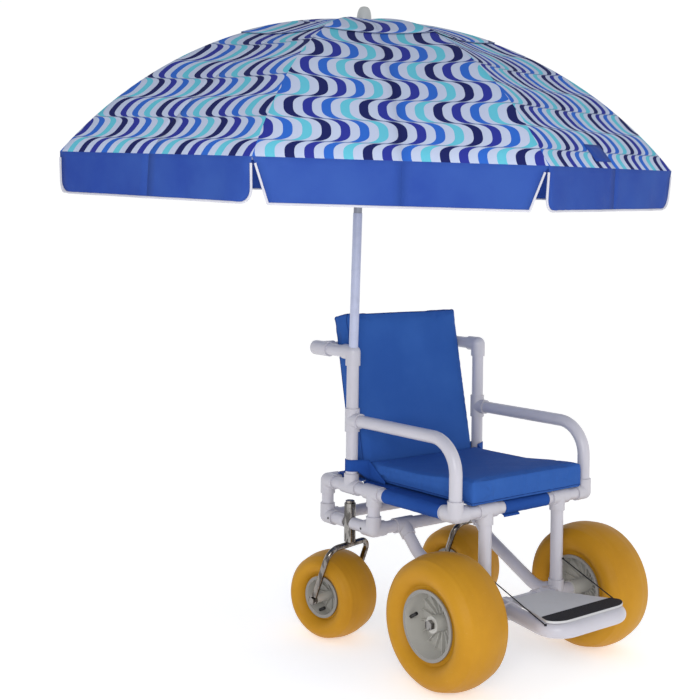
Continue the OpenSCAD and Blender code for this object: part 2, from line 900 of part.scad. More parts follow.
module seat_sling() {
    side_from = fitting_reach + 3;
    side_to = box_setback - tee_reach - 3;
    front_half = leg_x - tee_reach - 3;
    rear_half = min(rail_x - fitting_reach - 6, rail_x - fitting_r - 12);
    sheet_z = sling_top - sling_t;
    color(VINYL) {
        difference() {
            union() {
                both_sides()
                    translate([rail_x, side_from, rail_z])
                        rotate(REAR)
                            sling_sleeve(side_to - side_from);
                for (bar = [[front_half, 0], [rear_half, rail_length]])
                    translate([-bar[0], bar[1], rail_z])
                        rotate(LEFT)
                            sling_sleeve(2 * bar[0]);
                translate([-rail_x, side_from, sheet_z])
                    cube([rail_spacing, side_to - side_from, sling_t]);
                translate([-front_half, 0, sheet_z])
                    cube([2 * front_half, side_from + 1, sling_t]);
                translate([-rear_half, side_to - 1, sheet_z])
                    cube([2 * rear_half, rail_length - side_to + 1, sling_t]);
            }
            both_sides()
                translate([rail_x, 0, rail_z])
                    rotate(REAR)
                        cylinder(h = rail_length, r = sling_inner_r);
            for (y = [0, rail_length])
                translate([-rail_x, y, rail_z])
                    rotate(LEFT)
                        cylinder(h = rail_spacing, r = sling_inner_r);
        }
    }
}

// Footrest, about its hinge on the axle tube

module footrest_place() {
    translate([0, 0, axle_z])
        rotate([-footrest_slope, 0, 0])
            children();
}

module footrest_frame() {
    color(PVC)
        footrest_place() {
            for (side = [-1, 1])
                translate([side * hinge_x, 0, 0])
                    difference() {
                        union() {
                            rotate(LEFT)
                                cylinder(h = 2 * hinge_reach, d = fitting_d, center = true);
                            rotate([90, 0, side * footrest_splay])
                                cylinder(h = fitting_reach + 12, d = footrest_tube_d + 10);
                        }
                        rotate(LEFT)
                            cylinder(h = 3 * hinge_reach, d = tube_d + 2 * run_gap, center = true);
                        rotate([90, 0, side * footrest_splay])
                            translate([0, 0, footrest_inset - slip_gap])
                                cylinder(h = 2 * fitting_reach, d = footrest_tube_d + 2 * slip_gap);
                    }
            bent_rod(footrest_route, footrest_bend_r, footrest_tube_d, footrest_tube_d - 2 * tube_wall);
        }
}

// Half width of the plate at distance y in front of the hinge: straight sides, then a round nose
function plate_half(y) =
    y < grip_rear ? blend(y, plate_rear, grip_rear, plate_rear_half, plate_front_half)
    : y < plate_wide ? blend(y, grip_rear, plate_wide, plate_front_half, plate_wide_half)
    : let (v = (y - plate_wide) / (plate_nose - plate_wide))
        plate_nose_half + (plate_wide_half - plate_nose_half) * sqrt(max(0, 1 - v * v));
function blend(v, low, high, at_low, at_high) = at_low + (at_high - at_low) * (v - low) / (high - low);

// The plate's outline from a distance in front of the hinge to the nose
function plate_outline(from, inset, steps = 12) = let (
    sides = from < grip_rear ? [from, grip_rear] : [from],
    nose = [for (k = [0:steps])
        plate_wide + (plate_nose - inset - plate_wide) * sin(90 * k / steps)],
    rows = concat(sides, nose))
    concat(
        [for (y = rows) [plate_half(y) - inset, -y]],
        [for (y = backwards(rows)) [inset - plate_half(y), -y]]);

module footrest_plate() {
    color([0.68, 0.68, 0.69])
        footrest_place()
            translate([0, 0, plate_z])
                linear_extrude(height = plate_t)
                    polygon(plate_outline(plate_rear, 0));
}

module footrest_grip() {
    color([0.16, 0.15, 0.18])
        footrest_place()
            translate([0, 0, plate_z + plate_t])
                linear_extrude(height = grip_t)
                    polygon(plate_outline(grip_rear, 2));
}

module rod_between(a, b, d) {
    run = b - a;
    level = norm([run[0], run[1]]);
    translate(a)
        rotate([0, atan2(level, run[2]), atan2(run[1], run[0])])
            cylinder(h = norm(run), d = d);
}

// The two cords that hold the footrest up, from the front of each leg to the footrest's front corner
module footrest_cords() {
    color([0.2, 0.19, 0.2])
        both_sides()
            rod_between(cord_top, cord_foot, cord_d);
}

// Parasol, in its own frame along the pole

module parasol_place() {
    translate(pole_foot)
        rotate([lean_front, -lean_side, 0])
            children();
}

module at_rib(i) {
    parasol_place()
        rotate([0, 0, rib_turn + rib_step * (i - 1)])
            children();
}

module pole_lower() {
    color([0.8, 0.81, 0.87])
        parasol_place()
            translate([0, 0, pole_low])
                difference() {
                    cylinder(h = lower_pole_length, d = lower_pole_d);
                    translate([0, 0, pole_floor])
                        cylinder(h = lower_pole_length, d = lower_pole_bore);
                }
}

module pole_upper() {
    foot = pole_low + pole_floor + seat_gap;
    length = hinge_z - 8 - foot;
    color([0.4, 0.4, 0.42])
        parasol_place()
            translate([0, 0, foot])
                difference() {
                    cylinder(h = length, d = upper_pole_d);
                    translate([0, 0, -eps])
                        cylinder(h = length + 2 * eps, d = upper_pole_d - 2 * upper_pole_wall);
                }
}

// Slots round a crown or runner, one for each rib, at a sideways offset
module rib_slots(from_r, to_r, low, high, side, width) {
    for (i = [1:RIBS])
        rotate([0, 0, rib_turn + rib_step * (i - 1)])
            translate([from_r, side - width / 2, low])
                cube([to_r - from_r, width, high - low]);
}

module crown() {
    low = hinge_z - 2 * eye_r;
    skirt = 26;
    wall = 4;
    color([0.25, 0.25, 0.27])
        parasol_place()
            difference() {
                union() {
                    difference() {
                        translate([0, 0, low])
                            cylinder(h = crown_top - low, r = crown_r);
                        rib_slots(crown_slot_r, crown_r + 2, low - 1, crown_top + 1, 0, eye_w + 1);
                    }
                    for (i = [1:RIBS])
                        rotate([0, 0, rib_turn + rib_step * (i - 1)])
                            translate([rib_hinge_r, 0, hinge_z])
                                rotate(FRONT)
                                    cylinder(h = eye_w + 4, d = pin_d, center = true);
                    translate([0, 0, low - skirt])
                        cylinder(h = skirt + 1, r = upper_pole_r + wall);
                }
                translate([0, 0, low - skirt - 1])
                    cylinder(h = hinge_z - 7.5 - low + skirt + 1, r = upper_pole_r + slip_gap);
                translate([0, 0, low])
                    cylinder(h = 4 * eye_r, d = stud_d + 2 * slip_gap);
            }
}

module finial() {
    base = canopy_top + seat_gap;
    r = 25;
    fullness = 0.6;
    brim = 4;
    h = 48;
    color([0.77, 0.78, 0.77])
        parasol_place() {
            translate([0, 0, base])
                rotate_extrude()
                    polygon(concat(
                        [[0, 0], [r, 0], [r, brim]],
                        [for (k = [1:11])
                            let (a = 90 * k / 12)
                            [r * pow(cos(a), fullness), brim + (h - brim) * sin(a)]],
                        [[0, h]]));
            translate([0, 0, hinge_z - 4])
                cylinder(h = base - hinge_z + 5, d = stud_d);
        }
}

module runner() {
    below = 25;
    length = 44;
    wall = 5;
    flange = 7;
    color([0.25, 0.25, 0.27])
        parasol_place()
            translate([0, 0, runner_z])
                difference() {
                    union() {
                        translate([0, 0, -below])
                            cylinder(h = length, r = upper_pole_r + wall);
                        translate([0, 0, -flange])
                            cylinder(h = 2 * flange, r = crown_r);
                    }
                    rib_slots(crown_slot_r, crown_r + 2, -flange - 1, flange + 1,
                        stretcher_side, stretcher_eye_w + 1.6);
                    cylinder(h = 4 * length, r = upper_pole_r + run_gap, center = true);
                }
}

module rib(i) {
    from_a = acos(rib_tip_r / rib_arc_r);
    to_a = acos((rib_hinge_r + rib_root) / rib_arc_r);
    color([0.75, 0.75, 0.77])
        at_rib(i)
            difference() {
                union() {
                    translate([0, 0, arc_z])
                        rotate([90, 0, 0])
                            rotate([0, 0, from_a])
                                rotate_extrude(angle = to_a - from_a, $fn = 240)
                                    translate([rib_arc_r, 0])
                                        circle(d = rib_d, $fn = 24);
                    translate([rib_hinge_r, 0, hinge_z])
                        rotate(FRONT)
                            cylinder(h = eye_w, r = eye_r, center = true);
                    translate([stretcher_r, -1, stretcher_z])
                        rotate(REAR)
                            cylinder(h = stretcher_side + stretcher_eye_w / 2 + 2, d = stretcher_pin_d);
                }
                translate([rib_hinge_r, 0, hinge_z])
                    rotate(FRONT)
                        cylinder(h = 2 * eye_w, d = pin_d + 2 * run_gap, center = true);
            }
}

module stretcher(i) {
    near = [rib_hinge_r, stretcher_side, runner_z];
    far = [stretcher_r, stretcher_side, stretcher_z];
    color([0.75, 0.75, 0.77])
        at_rib(i)
            difference() {
                union() {
                    rod_between(near, far, stretcher_d);
                    for (p = [near, far])
                        translate(p)
                            rotate(FRONT)
                                cylinder(h = stretcher_eye_w, r = pin_eye_r, center = true);
                }
                for (p = [near, far])
                    translate(p)
                        rotate(FRONT)
                            cylinder(h = 4 * eye_w, d = stretcher_pin_d + 2 * run_gap, center = true);
            }
}

// A canopy panel spans one rib from half way to each neighbour. Between ribs the cloth is a
// straight chord, so a panel is two ruled halves that meet on the rib's line.
panel_hole_r = 14;
panel_rows = 12;
panel_gap = 0.25;
half_step = rib_step / 2;
function panel_r(k) = panel_hole_r + (canopy_r - panel_hole_r) * k / panel_rows;
function panel_point(r, side, drop) = [
    r * (side == 0 ? 1 : pow(cos(half_step), 2)) - (side == 0 ? 0 : panel_gap * sin(half_step)),
    side * (r * sin(half_step) * cos(half_step) - panel_gap * cos(half_step)),
    canopy_z(r) - drop];

module panel_cloth() {
    loop = 2 * (panel_rows + 1);
    sections = [for (side = [-1, 0, 1])
        concat(
            [for (k = [0:panel_rows]) panel_point(panel_r(k), side, 0)],
            [for (k = [panel_rows:-1:0]) panel_point(panel_r(k), side, cloth_t)])];
    points = [for (section = sections) each section];
    faces = concat(
        [for (s = [0, 1], k = [0:loop - 1])
            each [
                [s * loop + k, (s + 1) * loop + k, s * loop + (k + 1) % loop],
                [s * loop + (k + 1) % loop, (s + 1) * loop + k, (s + 1) * loop + (k + 1) % loop]]],
        [for (k = [0:panel_rows - 1])
            each [
                [k, k + 1, loop - 1 - k],
                [k + 1, loop - 2 - k, loop - 1 - k],
                [2 * loop + k, 2 * loop + loop - 1 - k, 2 * loop + k + 1],
                [2 * loop + k + 1, 2 * loop + loop - 1 - k, 2 * loop + loop - 2 - k]]]);
    polyhedron(points = points, faces = faces);
}

// Half of a valance: a flap hanging from the rim between its cut-back end at the rib and the mid seam
module valance_half(side) {
    slit = 3;
    rib_end = panel_point(canopy_r, 0, 0);
    mid_end = panel_point(canopy_r, side, 0);
    run = mid_end - rib_end;
    length = norm([run[0], run[1]]);
    top = valance_drop - cloth_t * 0.4;
    translate([rib_end[0], 0, rib_end[2] - valance_drop])
        rotate([90, 0, atan2(run[1], run[0])])
            translate([0, 0, side > 0 ? -cloth_t : 0])
                linear_extrude(height = cloth_t)
                    polygon([[slit + valance_cut, 0], [length, 0], [length, top], [slit, top]]);
}

module canopy_panel(i) {
    color([0.27, 0.4, 0.68])
        at_rib(i)
            union() {
                panel_cloth();
                valance_half(-1);
                valance_half(1);
            }
}

side_rails();
cross_rails();
posts();
armrests();
caster_frame_tubes();
leg_tubes();
push_handle();
corner_fittings();
tee_fittings();
handle_elbows();
axle_crosses();
seat_cushion();
back_cushion();
seat_sling();
set_screws();
caster_heads();
wheel_axle();
front_tyre(-1);  // front_tyre_right
front_tyre(1);  // front_tyre_left
front_hub(-1);  // front_hub_right
front_hub(1);  // front_hub_left
caster_tyre(-1);  // caster_tyre_right
caster_tyre(1);  // caster_tyre_left
caster_hub(-1);  // caster_hub_right
caster_hub(1);  // caster_hub_left
caster_fork(-1);  // caster_fork_right
caster_fork(1);  // caster_fork_left
footrest_frame();
footrest_plate();
footrest_grip();
footrest_cords();
pole_lower();
pole_upper();
crown();
finial();
runner();
for (i = [1:RIBS]) {
    rib(i);
    stretcher(i);
    canopy_panel(i);
}
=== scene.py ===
"""The looks of a beach wheelchair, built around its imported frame.

Metres, in the frame's own axes: the sitter faces -Y, -X is the sitter's right, the floor is z = 0.
"""

import logging
import math
from collections.abc import Callable, Iterable, Sequence
from dataclasses import dataclass
from enum import Enum

import bmesh
import bpy
import numpy as np
from mathutils import Matrix, Vector


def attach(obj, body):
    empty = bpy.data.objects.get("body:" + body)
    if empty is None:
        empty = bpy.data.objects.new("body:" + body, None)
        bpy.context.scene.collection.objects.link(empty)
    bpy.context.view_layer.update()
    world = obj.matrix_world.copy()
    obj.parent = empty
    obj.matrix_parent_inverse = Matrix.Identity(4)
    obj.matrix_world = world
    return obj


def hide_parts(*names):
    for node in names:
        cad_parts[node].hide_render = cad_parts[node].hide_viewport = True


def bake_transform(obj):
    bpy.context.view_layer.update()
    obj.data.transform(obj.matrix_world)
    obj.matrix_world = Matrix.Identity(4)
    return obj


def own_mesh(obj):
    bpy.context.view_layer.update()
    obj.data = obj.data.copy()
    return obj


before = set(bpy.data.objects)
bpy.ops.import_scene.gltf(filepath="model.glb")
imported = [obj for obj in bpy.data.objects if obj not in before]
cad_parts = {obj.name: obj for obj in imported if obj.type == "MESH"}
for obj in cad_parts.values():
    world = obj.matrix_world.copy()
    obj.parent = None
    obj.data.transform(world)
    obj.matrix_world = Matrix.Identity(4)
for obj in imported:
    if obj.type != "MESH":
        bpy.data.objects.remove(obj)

log = logging.getLogger("beach_wheelchair")
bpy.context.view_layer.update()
MM = 0.001
WHITE = (1.0, 1.0, 1.0, 1.0)
Colour = tuple[float, float, float]
Vec = tuple[float, float, float]


class Side(Enum):
    """A side of the chair, by the sign of its X."""

    RIGHT = -1
    LEFT = 1

    @property
    def word(self) -> str:
        """The side's name as the nodes and bodies spell it."""
        return self.name.lower()


class Body(str, Enum):
    """The bodies that the cloth, the padding and the cords ride on."""

    FRAME = "frame"
    FOOTREST = "footrest"


def srgb(red: int, green: int, blue: int) -> Colour:
    """Turns a screen colour into a linear one.

    Args:
        red: red from 0 to 255.
        green: green from 0 to 255.
        blue: blue from 0 to 255.

    Returns:
        The linear colour.
    """
    def linear(value: int) -> float:
        """One channel, made linear."""
        v = value / 255
        return v / 12.92 if v <= 0.04045 else ((v + 0.055) / 1.055) ** 2.4

    return linear(red), linear(green), linear(blue)


# Shaders


class Value:
    """A shader value: an output socket whose arithmetic adds Math nodes to its finish."""

    def __init__(self, tree: "Tree", socket: bpy.types.NodeSocket) -> None:
        """Keeps the socket and the tree that it belongs to."""
        self.tree = tree
        self.socket = socket

    def out(self, name: str) -> "Value":
        """Another output of the same node, by name."""
        return Value(self.tree, self.socket.node.outputs[name])

    def _math(self, operation: str, *values: "Value | float") -> "Value":
        """Adds one Math node over the values."""
        return self.tree.node("ShaderNodeMath", {"operation": operation}, dict(enumerate(values)))

    def __add__(self, other: "Value | float") -> "Value":
        """The sum."""
        return self._math("ADD", self, other)

    def __sub__(self, other: "Value | float") -> "Value":
        """The difference."""
        return self._math("SUBTRACT", self, other)

    def __rsub__(self, other: float) -> "Value":
        """The difference, from a number."""
        return self._math("SUBTRACT", other, self)

    def __mul__(self, other: "Value | float") -> "Value":
        """The product."""
        return self._math("MULTIPLY", self, other)

    def __truediv__(self, other: "Value | float") -> "Value":
        """The quotient."""
        return self._math("DIVIDE", self, other)

    def __pow__(self, other: "Value | float") -> "Value":
        """The power."""
        return self._math("POWER", self, other)

    def __mod__(self, other: "Value | float") -> "Value":
        """The remainder, never negative."""
        return self._math("FLOORED_MODULO", self, other)

    def __abs__(self) -> "Value":
        """The size without its sign."""
        return self._math("ABSOLUTE", self)

    __radd__ = __add__
    __rmul__ = __mul__

    def sine(self) -> "Value":
        """The sine, of radians."""
        return self._math("SINE", self)

    def floor(self) -> "Value":
        """The whole number below."""
        return self._math("FLOOR", self)

    def highest(self, other: "Value | float") -> "Value":
        """The greater of the two."""
        return self._math("MAXIMUM", self, other)

    def ease(self, low: float, high: float) -> "Value":
        """A smooth step from 0 at low to 1 at high."""
        return self.tree.node(
            "ShaderNodeMapRange",
            {"interpolation_type": "SMOOTHSTEP"},
            {"Value": self, "From Min": low, "From Max": high})


Input = Value | float | Sequence[float]


class Tree:
    """The node tree of one material or of the studio's surround, with its shader at the end."""

    def __init__(self, owner: bpy.types.Material | bpy.types.World) -> None:
        """Starts the owner's tree afresh."""
        owner.use_nodes = True
        self.owner = owner
        self.nodes = owner.node_tree.nodes
        self.links = owner.node_tree.links
        self.nodes.clear()

    def node(self, kind: str, settings: dict | None = None, inputs: dict | None = None) -> Value | None:
        """Adds any node.

        Args:
            kind: the node's type.
            settings: its properties, set first, with a ramp's stops as (place, colour) pairs.
            inputs: values or links of its sockets, by name or index.

        Returns:
            Its first shown output, or nothing from a node that ends the tree.
        """
        made = self.nodes.new(kind)
        for key, value in (settings or {}).items():
            if key == "stops":
                self._ramp(made.color_ramp, value)
            else:
                setattr(made, key, value)
        for key, value in (inputs or {}).items():
            if isinstance(value, Value):
                self.links.new(value.socket, made.inputs[key])
            else:
                made.inputs[key].default_value = value
        shown = [socket for socket in made.outputs if socket.enabled]
        return Value(self, shown[0]) if shown else None

    @staticmethod
    def _ramp(ramp: bpy.types.ColorRamp, stops: Sequence[tuple[float, Colour]]) -> None:
        """Gives a ramp its stops, each colour held until the next."""
        ramp.interpolation = "CONSTANT"
        while len(ramp.elements) < len(stops):
            ramp.elements.new(1.0)
        for element, (place, colour) in zip(ramp.elements, stops):
            element.position = place
            element.color = (*colour, 1.0)

    def place(self) -> Value:
        """The point on the piece as it stands at rest."""
        return self.node("ShaderNodeTexCoord").out("Object")

    def cloth(self) -> Value:
        """The point on the cloth as it was cut, in metres."""
        return self.node("ShaderNodeUVMap", {"uv_map": "cloth"})

    def parts(self, vector: Value) -> tuple[Value, Value, Value]:
        """The three parts of a vector."""
        split = self.node("ShaderNodeSeparateXYZ", None, {0: vector})
        return split.out("X"), split.out("Y"), split.out("Z")

    def noise(self, vector: Value, scale: float, detail: float = 3.0, rough: float = 0.5) -> Value:
        """Cloudy noise of that many features to the metre, from 0 to 1."""
        return self.node(
            "ShaderNodeTexNoise", None,
            {"Vector": vector, "Scale": scale, "Detail": detail, "Roughness": rough})

    def stretched(self, vector: Value, scale: Vec) -> Value:
        """The vector scaled apart along the axes."""
        return self.node("ShaderNodeVectorMath", {"operation": "MULTIPLY"}, {0: vector, 1: scale})

    def mix(self, factor: Input, low: Input, high: Input) -> Value:
        """A colour between two colours."""
        def colour(value: Input) -> Input:
            """A plain colour with its fourth part."""
            return value if isinstance(value, Value) else (*value, 1.0)

        mixed = self.node(
            "ShaderNodeMix", {"data_type": "RGBA"}, {0: factor, 6: colour(low), 7: colour(high)})
        return Value(self, mixed.socket.node.outputs[2])

    def bump(self, height: Value, depth: float, under: Value | None = None) -> Value:
        """A bumped normal, with depth in metres for a height from 0 to 1."""
        inputs: dict = {"Height": height, "Distance": depth, "Strength": 1.0}
        if under is not None:
            inputs["Normal"] = under
        return self.node("ShaderNodeBump", None, inputs)

    def surface(self, **inputs: Input) -> bpy.types.Material:
        """Ends the tree with one shader.

        Args:
            inputs: the shader's sockets, with _ for a space.

        Returns:
            The finished material.
        """
        named = {key.replace("_", " "): value for key, value in inputs.items()}
        shader = self.node("ShaderNodeBsdfPrincipled", None, named)
        self.node("ShaderNodeOutputMaterial", None, {"Surface": shader})
        return self.owner


# Finishes


@dataclass(frozen=True)
class MouldedPlastic:
    """Extruded or moulded plastic: faint flow marks, an orange-peel skin and dust in a few places."""

    name: str
    colour: Colour
    roughness: float = 0.32
    peel: float = 260.0
    depth: float = 0.00006
    shift: float = 0.05
    coat: float = 0.25

    def build(self) -> bpy.types.Material:
        """Makes the material."""
        tree = Tree(bpy.data.materials.new(self.name))
        place = tree.place()
        clouds = tree.noise(place, 7.0, 4.0)
        dust = tree.noise(place, 38.0, 5.0, 0.65).ease(0.52, 0.78)
        darker = tuple(c * (1 - 2.2 * self.shift) for c in self.colour)
        lighter = tuple(min(1.0, c * (1 + self.shift)) for c in self.colour)
        base = tree.mix(clouds, darker, lighter)
        warm = (self.colour[0] * 0.93, self.colour[1] * 0.9, self.colour[2] * 0.84)
        base = tree.mix(dust * 0.35, base, warm)
        skin = tree.noise(place, self.peel, 2.0)
        return tree.surface(
            Base_Color=base,
            Roughness=self.roughness + 0.12 * dust + 0.1 * (clouds - 0.5),
            Coat_Weight=self.coat,
            Coat_Roughness=0.12,
            Specular_IOR_Level=0.3,
            Normal=tree.bump(skin, self.depth))


@dataclass(frozen=True)
class CoatedCloth:
    """Woven cloth with a thin coat: a crossed weave, a little sheen and rubbed high places."""

    name: str
    colour: Colour
    light: Colour
    pitch: float = 1.1 * MM
    depth: float = 0.00012
    roughness: float = 0.74
    shine: float = 0.08

    def build(self) -> bpy.types.Material:
        """Makes the material."""
        tree = Tree(bpy.data.materials.new(self.name))
        place = tree.place()
        x, y, z = tree.parts(place)
        turn = 2 * math.pi / self.pitch
        across = (x * turn).sine()
        along = ((y + 0.83 * z) * turn).sine()
        weave = 0.5 + 0.25 * across * along + 0.25 * (across + along) * 0.5
        clouds = tree.noise(place, 5.0, 4.0)
        rubbed = tree.noise(place, 22.0, 5.0, 0.6).ease(0.5, 0.8)
        base = tree.mix(clouds.ease(0.25, 0.75), self.colour, self.light)
        base = tree.mix(rubbed * 0.2 + 0.12 * weave, base, self.light)
        wrinkle = tree.bump(tree.noise(place, 16.0, 3.0), 0.0006)
        return tree.surface(
            Base_Color=base,
            Roughness=self.roughness + 0.12 * (1 - weave) - 0.1 * rubbed,
            Specular_IOR_Level=self.shine,
            Normal=tree.bump(weave, self.depth, wrinkle))


@dataclass(frozen=True)
class BalloonSkin:
    """The soft skin of a balloon tyre: mottled amber, a satin face and sand rubbed into the tread."""

    name: str
    colour: Colour
    deep: Colour

    def build(self) -> bpy.types.Material:
        """Makes the material."""
        tree = Tree(bpy.data.materials.new(self.name))
        place = tree.place()
        clouds = tree.noise(place, 4.0, 4.0).ease(0.3, 0.7)
        mottle = tree.noise(place, 55.0, 5.0, 0.6)
        sand = tree.noise(place, 140.0, 4.0, 0.7).ease(0.6, 0.75)
        base = tree.mix(clouds, self.deep, self.colour)
        base = tree.mix(mottle * 0.25, base, tuple(c * 1.12 for c in self.colour))
        base = tree.mix(sand * 0.3, base, srgb(200, 160, 96))
        fine = tree.noise(place, 420.0, 2.0)
        return tree.surface(
            Base_Color=base,
            Roughness=0.5 + 0.2 * sand + 0.12 * (mottle - 0.5),
            Specular_IOR_Level=0.16,
            Normal=tree.bump(fine, 0.00008))


@dataclass(frozen=True)
class Metal:
    """Plated or painted metal, with drawn lines, smudges and dull pits, and on plating painted dark streaks that stand
    for a dark room mirrored in it.
    """

    name: str
    colour: Colour
    metallic: float = 1.0
    roughness: float = 0.16
    smudge: float = 0.16
    streak: float = 0.0

    def build(self) -> bpy.types.Material:
        """Makes the material."""
        tree = Tree(bpy.data.materials.new(self.name))
        place = tree.place()
        smudges = tree.noise(place, 30.0, 5.0, 0.6).ease(0.4, 0.8)
        pits = tree.noise(place, 260.0, 3.0, 0.6).ease(0.66, 0.74)
        drawn = tree.noise(tree.stretched(place, (900.0, 900.0, 40.0)), 1.0, 2.0)
        base = tree.mix(smudges * 0.4, self.colour, tuple(c * 0.72 for c in self.colour))
        base = tree.mix(pits * 0.5, base, srgb(92, 74, 58))
        # Painted reflection: dark streaks, drawn out along Z, stand for a dark room mirrored in the metal.
        if self.streak:
            streaks = tree.noise(tree.stretched(place, (75.0, 75.0, 22.0)), 1.0, 2.0).ease(0.44, 0.58)
            base = tree.mix(streaks * self.streak, base, srgb(44, 40, 37))
        return tree.surface(
            Base_Color=base,
            Metallic=self.metallic - 0.5 * pits if self.metallic > 0.5 else self.metallic,
            Roughness=self.roughness + self.smudge * smudges + 0.3 * pits + 0.05 * drawn,
            Normal=tree.bump(drawn, 0.00001))


@dataclass(frozen=True)
class StripedPrint:
    """Canopy cloth printed with stripes that wave down each gore, four colours on a pale ground."""

    name: str
    pitch: float = 51.5 * MM
    row: float = 87 * MM
    first: float = 61 * MM
    growth: float = 0.363
    phase: float = 54 * MM
    swing: float = 50 * MM
    weave: float = 1.3 * MM
    line: Colour = srgb(112, 128, 160)
    pale: Colour = srgb(180, 191, 217)
    colours: tuple[Colour, ...] = (
        srgb(24, 30, 88), srgb(42, 50, 144), srgb(44, 98, 192), srgb(94, 184, 206))

    def build(self) -> bpy.types.Material:
        """Makes the material."""
        tree = Tree(bpy.data.materials.new(self.name))
        across, down, _ = tree.parts(tree.cloth())
        up = down - self.first
        rows = up * (1.0 - self.growth * up) / self.row
        turn = rows % 1.0 * 2.0 - 1.0
        bulge = (1.0 - abs(turn) ** 3.0).highest(0.0) ** 0.5
        way = ((rows.floor() % 2.0) * 2.0) - 1.0
        shifted = across + self.phase + self.swing * bulge * way
        stripe = shifted / (self.pitch * len(self.colours)) % 1.0
        stops: list[tuple[float, Colour]] = []
        for index, colour in enumerate(self.colours):
            stops.append((index / len(self.colours), colour))
            stops.append(((index + 0.5) / len(self.colours), self.pale))
        printed = tree.node("ShaderNodeValToRGB", {"stops": stops}, {"Fac": stripe})
        place = tree.place()
        clouds = tree.noise(place, 3.0, 4.0)
        threads = 2 * math.pi / self.weave
        weave = 0.5 + 0.25 * (across * threads).sine() + 0.25 * (down * threads).sine()
        edge = abs(turn).ease(0.93, 0.985)
        lined = tree.mix(edge * 0.75, printed, self.line)
        worn = tree.mix(0.012 * weave, lined, self.pale)
        shaded = tree.mix(clouds * 0.16, worn, srgb(24, 30, 70))
        wrinkle = tree.bump(tree.noise(place, 9.0, 3.0), 0.0012)
        return tree.surface(
            Base_Color=shaded,
            Roughness=0.78 + 0.12 * weave,
            Specular_IOR_Level=0.08,
            Normal=tree.bump(weave, 0.00012, wrinkle))


@dataclass(frozen=True)
class StudioFloor:
    """A pale plain floor, a little lit from below as a light table is, with the faintest mottle."""

    name: str
    colour: Colour
    glow: float = 0.42

    def build(self) -> bpy.types.Material:
        """Makes the material."""
        tree = Tree(bpy.data.materials.new(self.name))
        clouds = tree.noise(tree.place(), 2.0, 3.0)
        base = tree.mix(clouds, self.colour, tuple(c * 0.985 for c in self.colour))
        return tree.surface(
            Base_Color=base,
            Roughness=0.75 + 0.1 * clouds,
            Specular_IOR_Level=0.1,
            Emission_Color=WHITE,
            Emission_Strength=self.glow)


class Finish(Enum):
    """Every finish on the chair, and the material slot of the record that it stands for.

    No finish has a slot's name, because the frame brings materials that have those names.
    """

    PIPE = (MouldedPlastic("white_pipe", srgb(190, 188, 197), 0.3), "pvc")
    FITTING = (MouldedPlastic("white_fitting", srgb(188, 186, 194), 0.36, 420.0, 0.00012), "pvc")
    CUSHION = (CoatedCloth("cushion_cloth", srgb(42, 82, 154), srgb(50, 92, 164)), "cushion_vinyl")
    SEAM = (CoatedCloth("cushion_seam", srgb(26, 56, 118), srgb(36, 66, 130), 0.8 * MM), "cushion_vinyl")
    SLING = (CoatedCloth("sling_weave", srgb(29, 66, 138), srgb(37, 77, 151)), "sling_cloth")
    FASTENER = (MouldedPlastic("black_fastener", srgb(30, 29, 31), 0.4, 300.0, 0.0001), "fasteners")
    # Steel and chrome carry the painted dark reflection streaks at 0.7.
    STEEL = (Metal("plated_steel", srgb(150, 147, 144), 1.0, 0.2, 0.16, 0.7), "steel")
    CHROME = (Metal("chrome_plate", srgb(146, 140, 134), 1.0, 0.13, 0.16, 0.7), "fork_chrome")
    TYRE = (BalloonSkin("balloon_skin", srgb(188, 136, 32), srgb(172, 121, 25)), "tyre")
    # One grey hub plastic in two copies: painted light in the dish against its shade, painted shade on the rim.
    HUB = (MouldedPlastic("grey_hub", srgb(190, 188, 182), 0.34, 180.0, 0.00014, 0.12, 0.2), "hub")
    RIM = (MouldedPlastic("grey_rim", srgb(140, 138, 134), 0.36, 180.0, 0.00014, 0.08, 0.2), "hub")
    BOARD = (MouldedPlastic("board_sheet", srgb(198, 198, 200), 0.5, 700.0, 0.0002, 0.04, 0.0), "footrest_board")
    GRIP = (MouldedPlastic("grip_strip", srgb(32, 31, 37), 0.8, 900.0, 0.0006, 0.2, 0.0), "grip")
    CORD = (CoatedCloth("cord_braid", srgb(30, 29, 32), srgb(52, 51, 56), 1.4 * MM, 0.0003), "cord")
    POLE = (Metal("white_pole", srgb(176, 181, 205), 0.0, 0.3, 0.1), "pvc")
    MAST = (Metal("grey_mast", srgb(146, 148, 158), 0.4, 0.4, 0.1), "grey_pole")
    DARK = (MouldedPlastic("dark_moulding", srgb(58, 58, 62), 0.45, 300.0, 0.0001), "dark_plastic")
    FINIAL = (MouldedPlastic("finial_grey", srgb(172, 175, 175), 0.35), "finial_plastic")
    RIB = (Metal("rib_paint", srgb(188, 188, 193), 0.0, 0.4, 0.1), "rib_steel")
    PRINT = (StripedPrint("wave_print"), "canopy")
    VALANCE = (CoatedCloth("valance_nylon", srgb(36, 63, 143), srgb(49, 80, 154), 0.9 * MM, 0.0001, 0.6), "canopy")
    BINDING = (CoatedCloth("white_binding", srgb(180, 180, 191), srgb(196, 196, 206), 1.2 * MM, 0.0002), "canopy")
    FLOOR = (StudioFloor("studio_floor", (0.93, 0.93, 0.93)), None)

    @property
    def slot(self) -> str | None:
        """The record's slot."""
        return self.value[1]

    def material(self) -> bpy.types.Material:
        """The finish's material, made at its first use."""
        name = self.value[0].name
        return bpy.data.materials.get(name) or self.value[0].build()


# Shapes


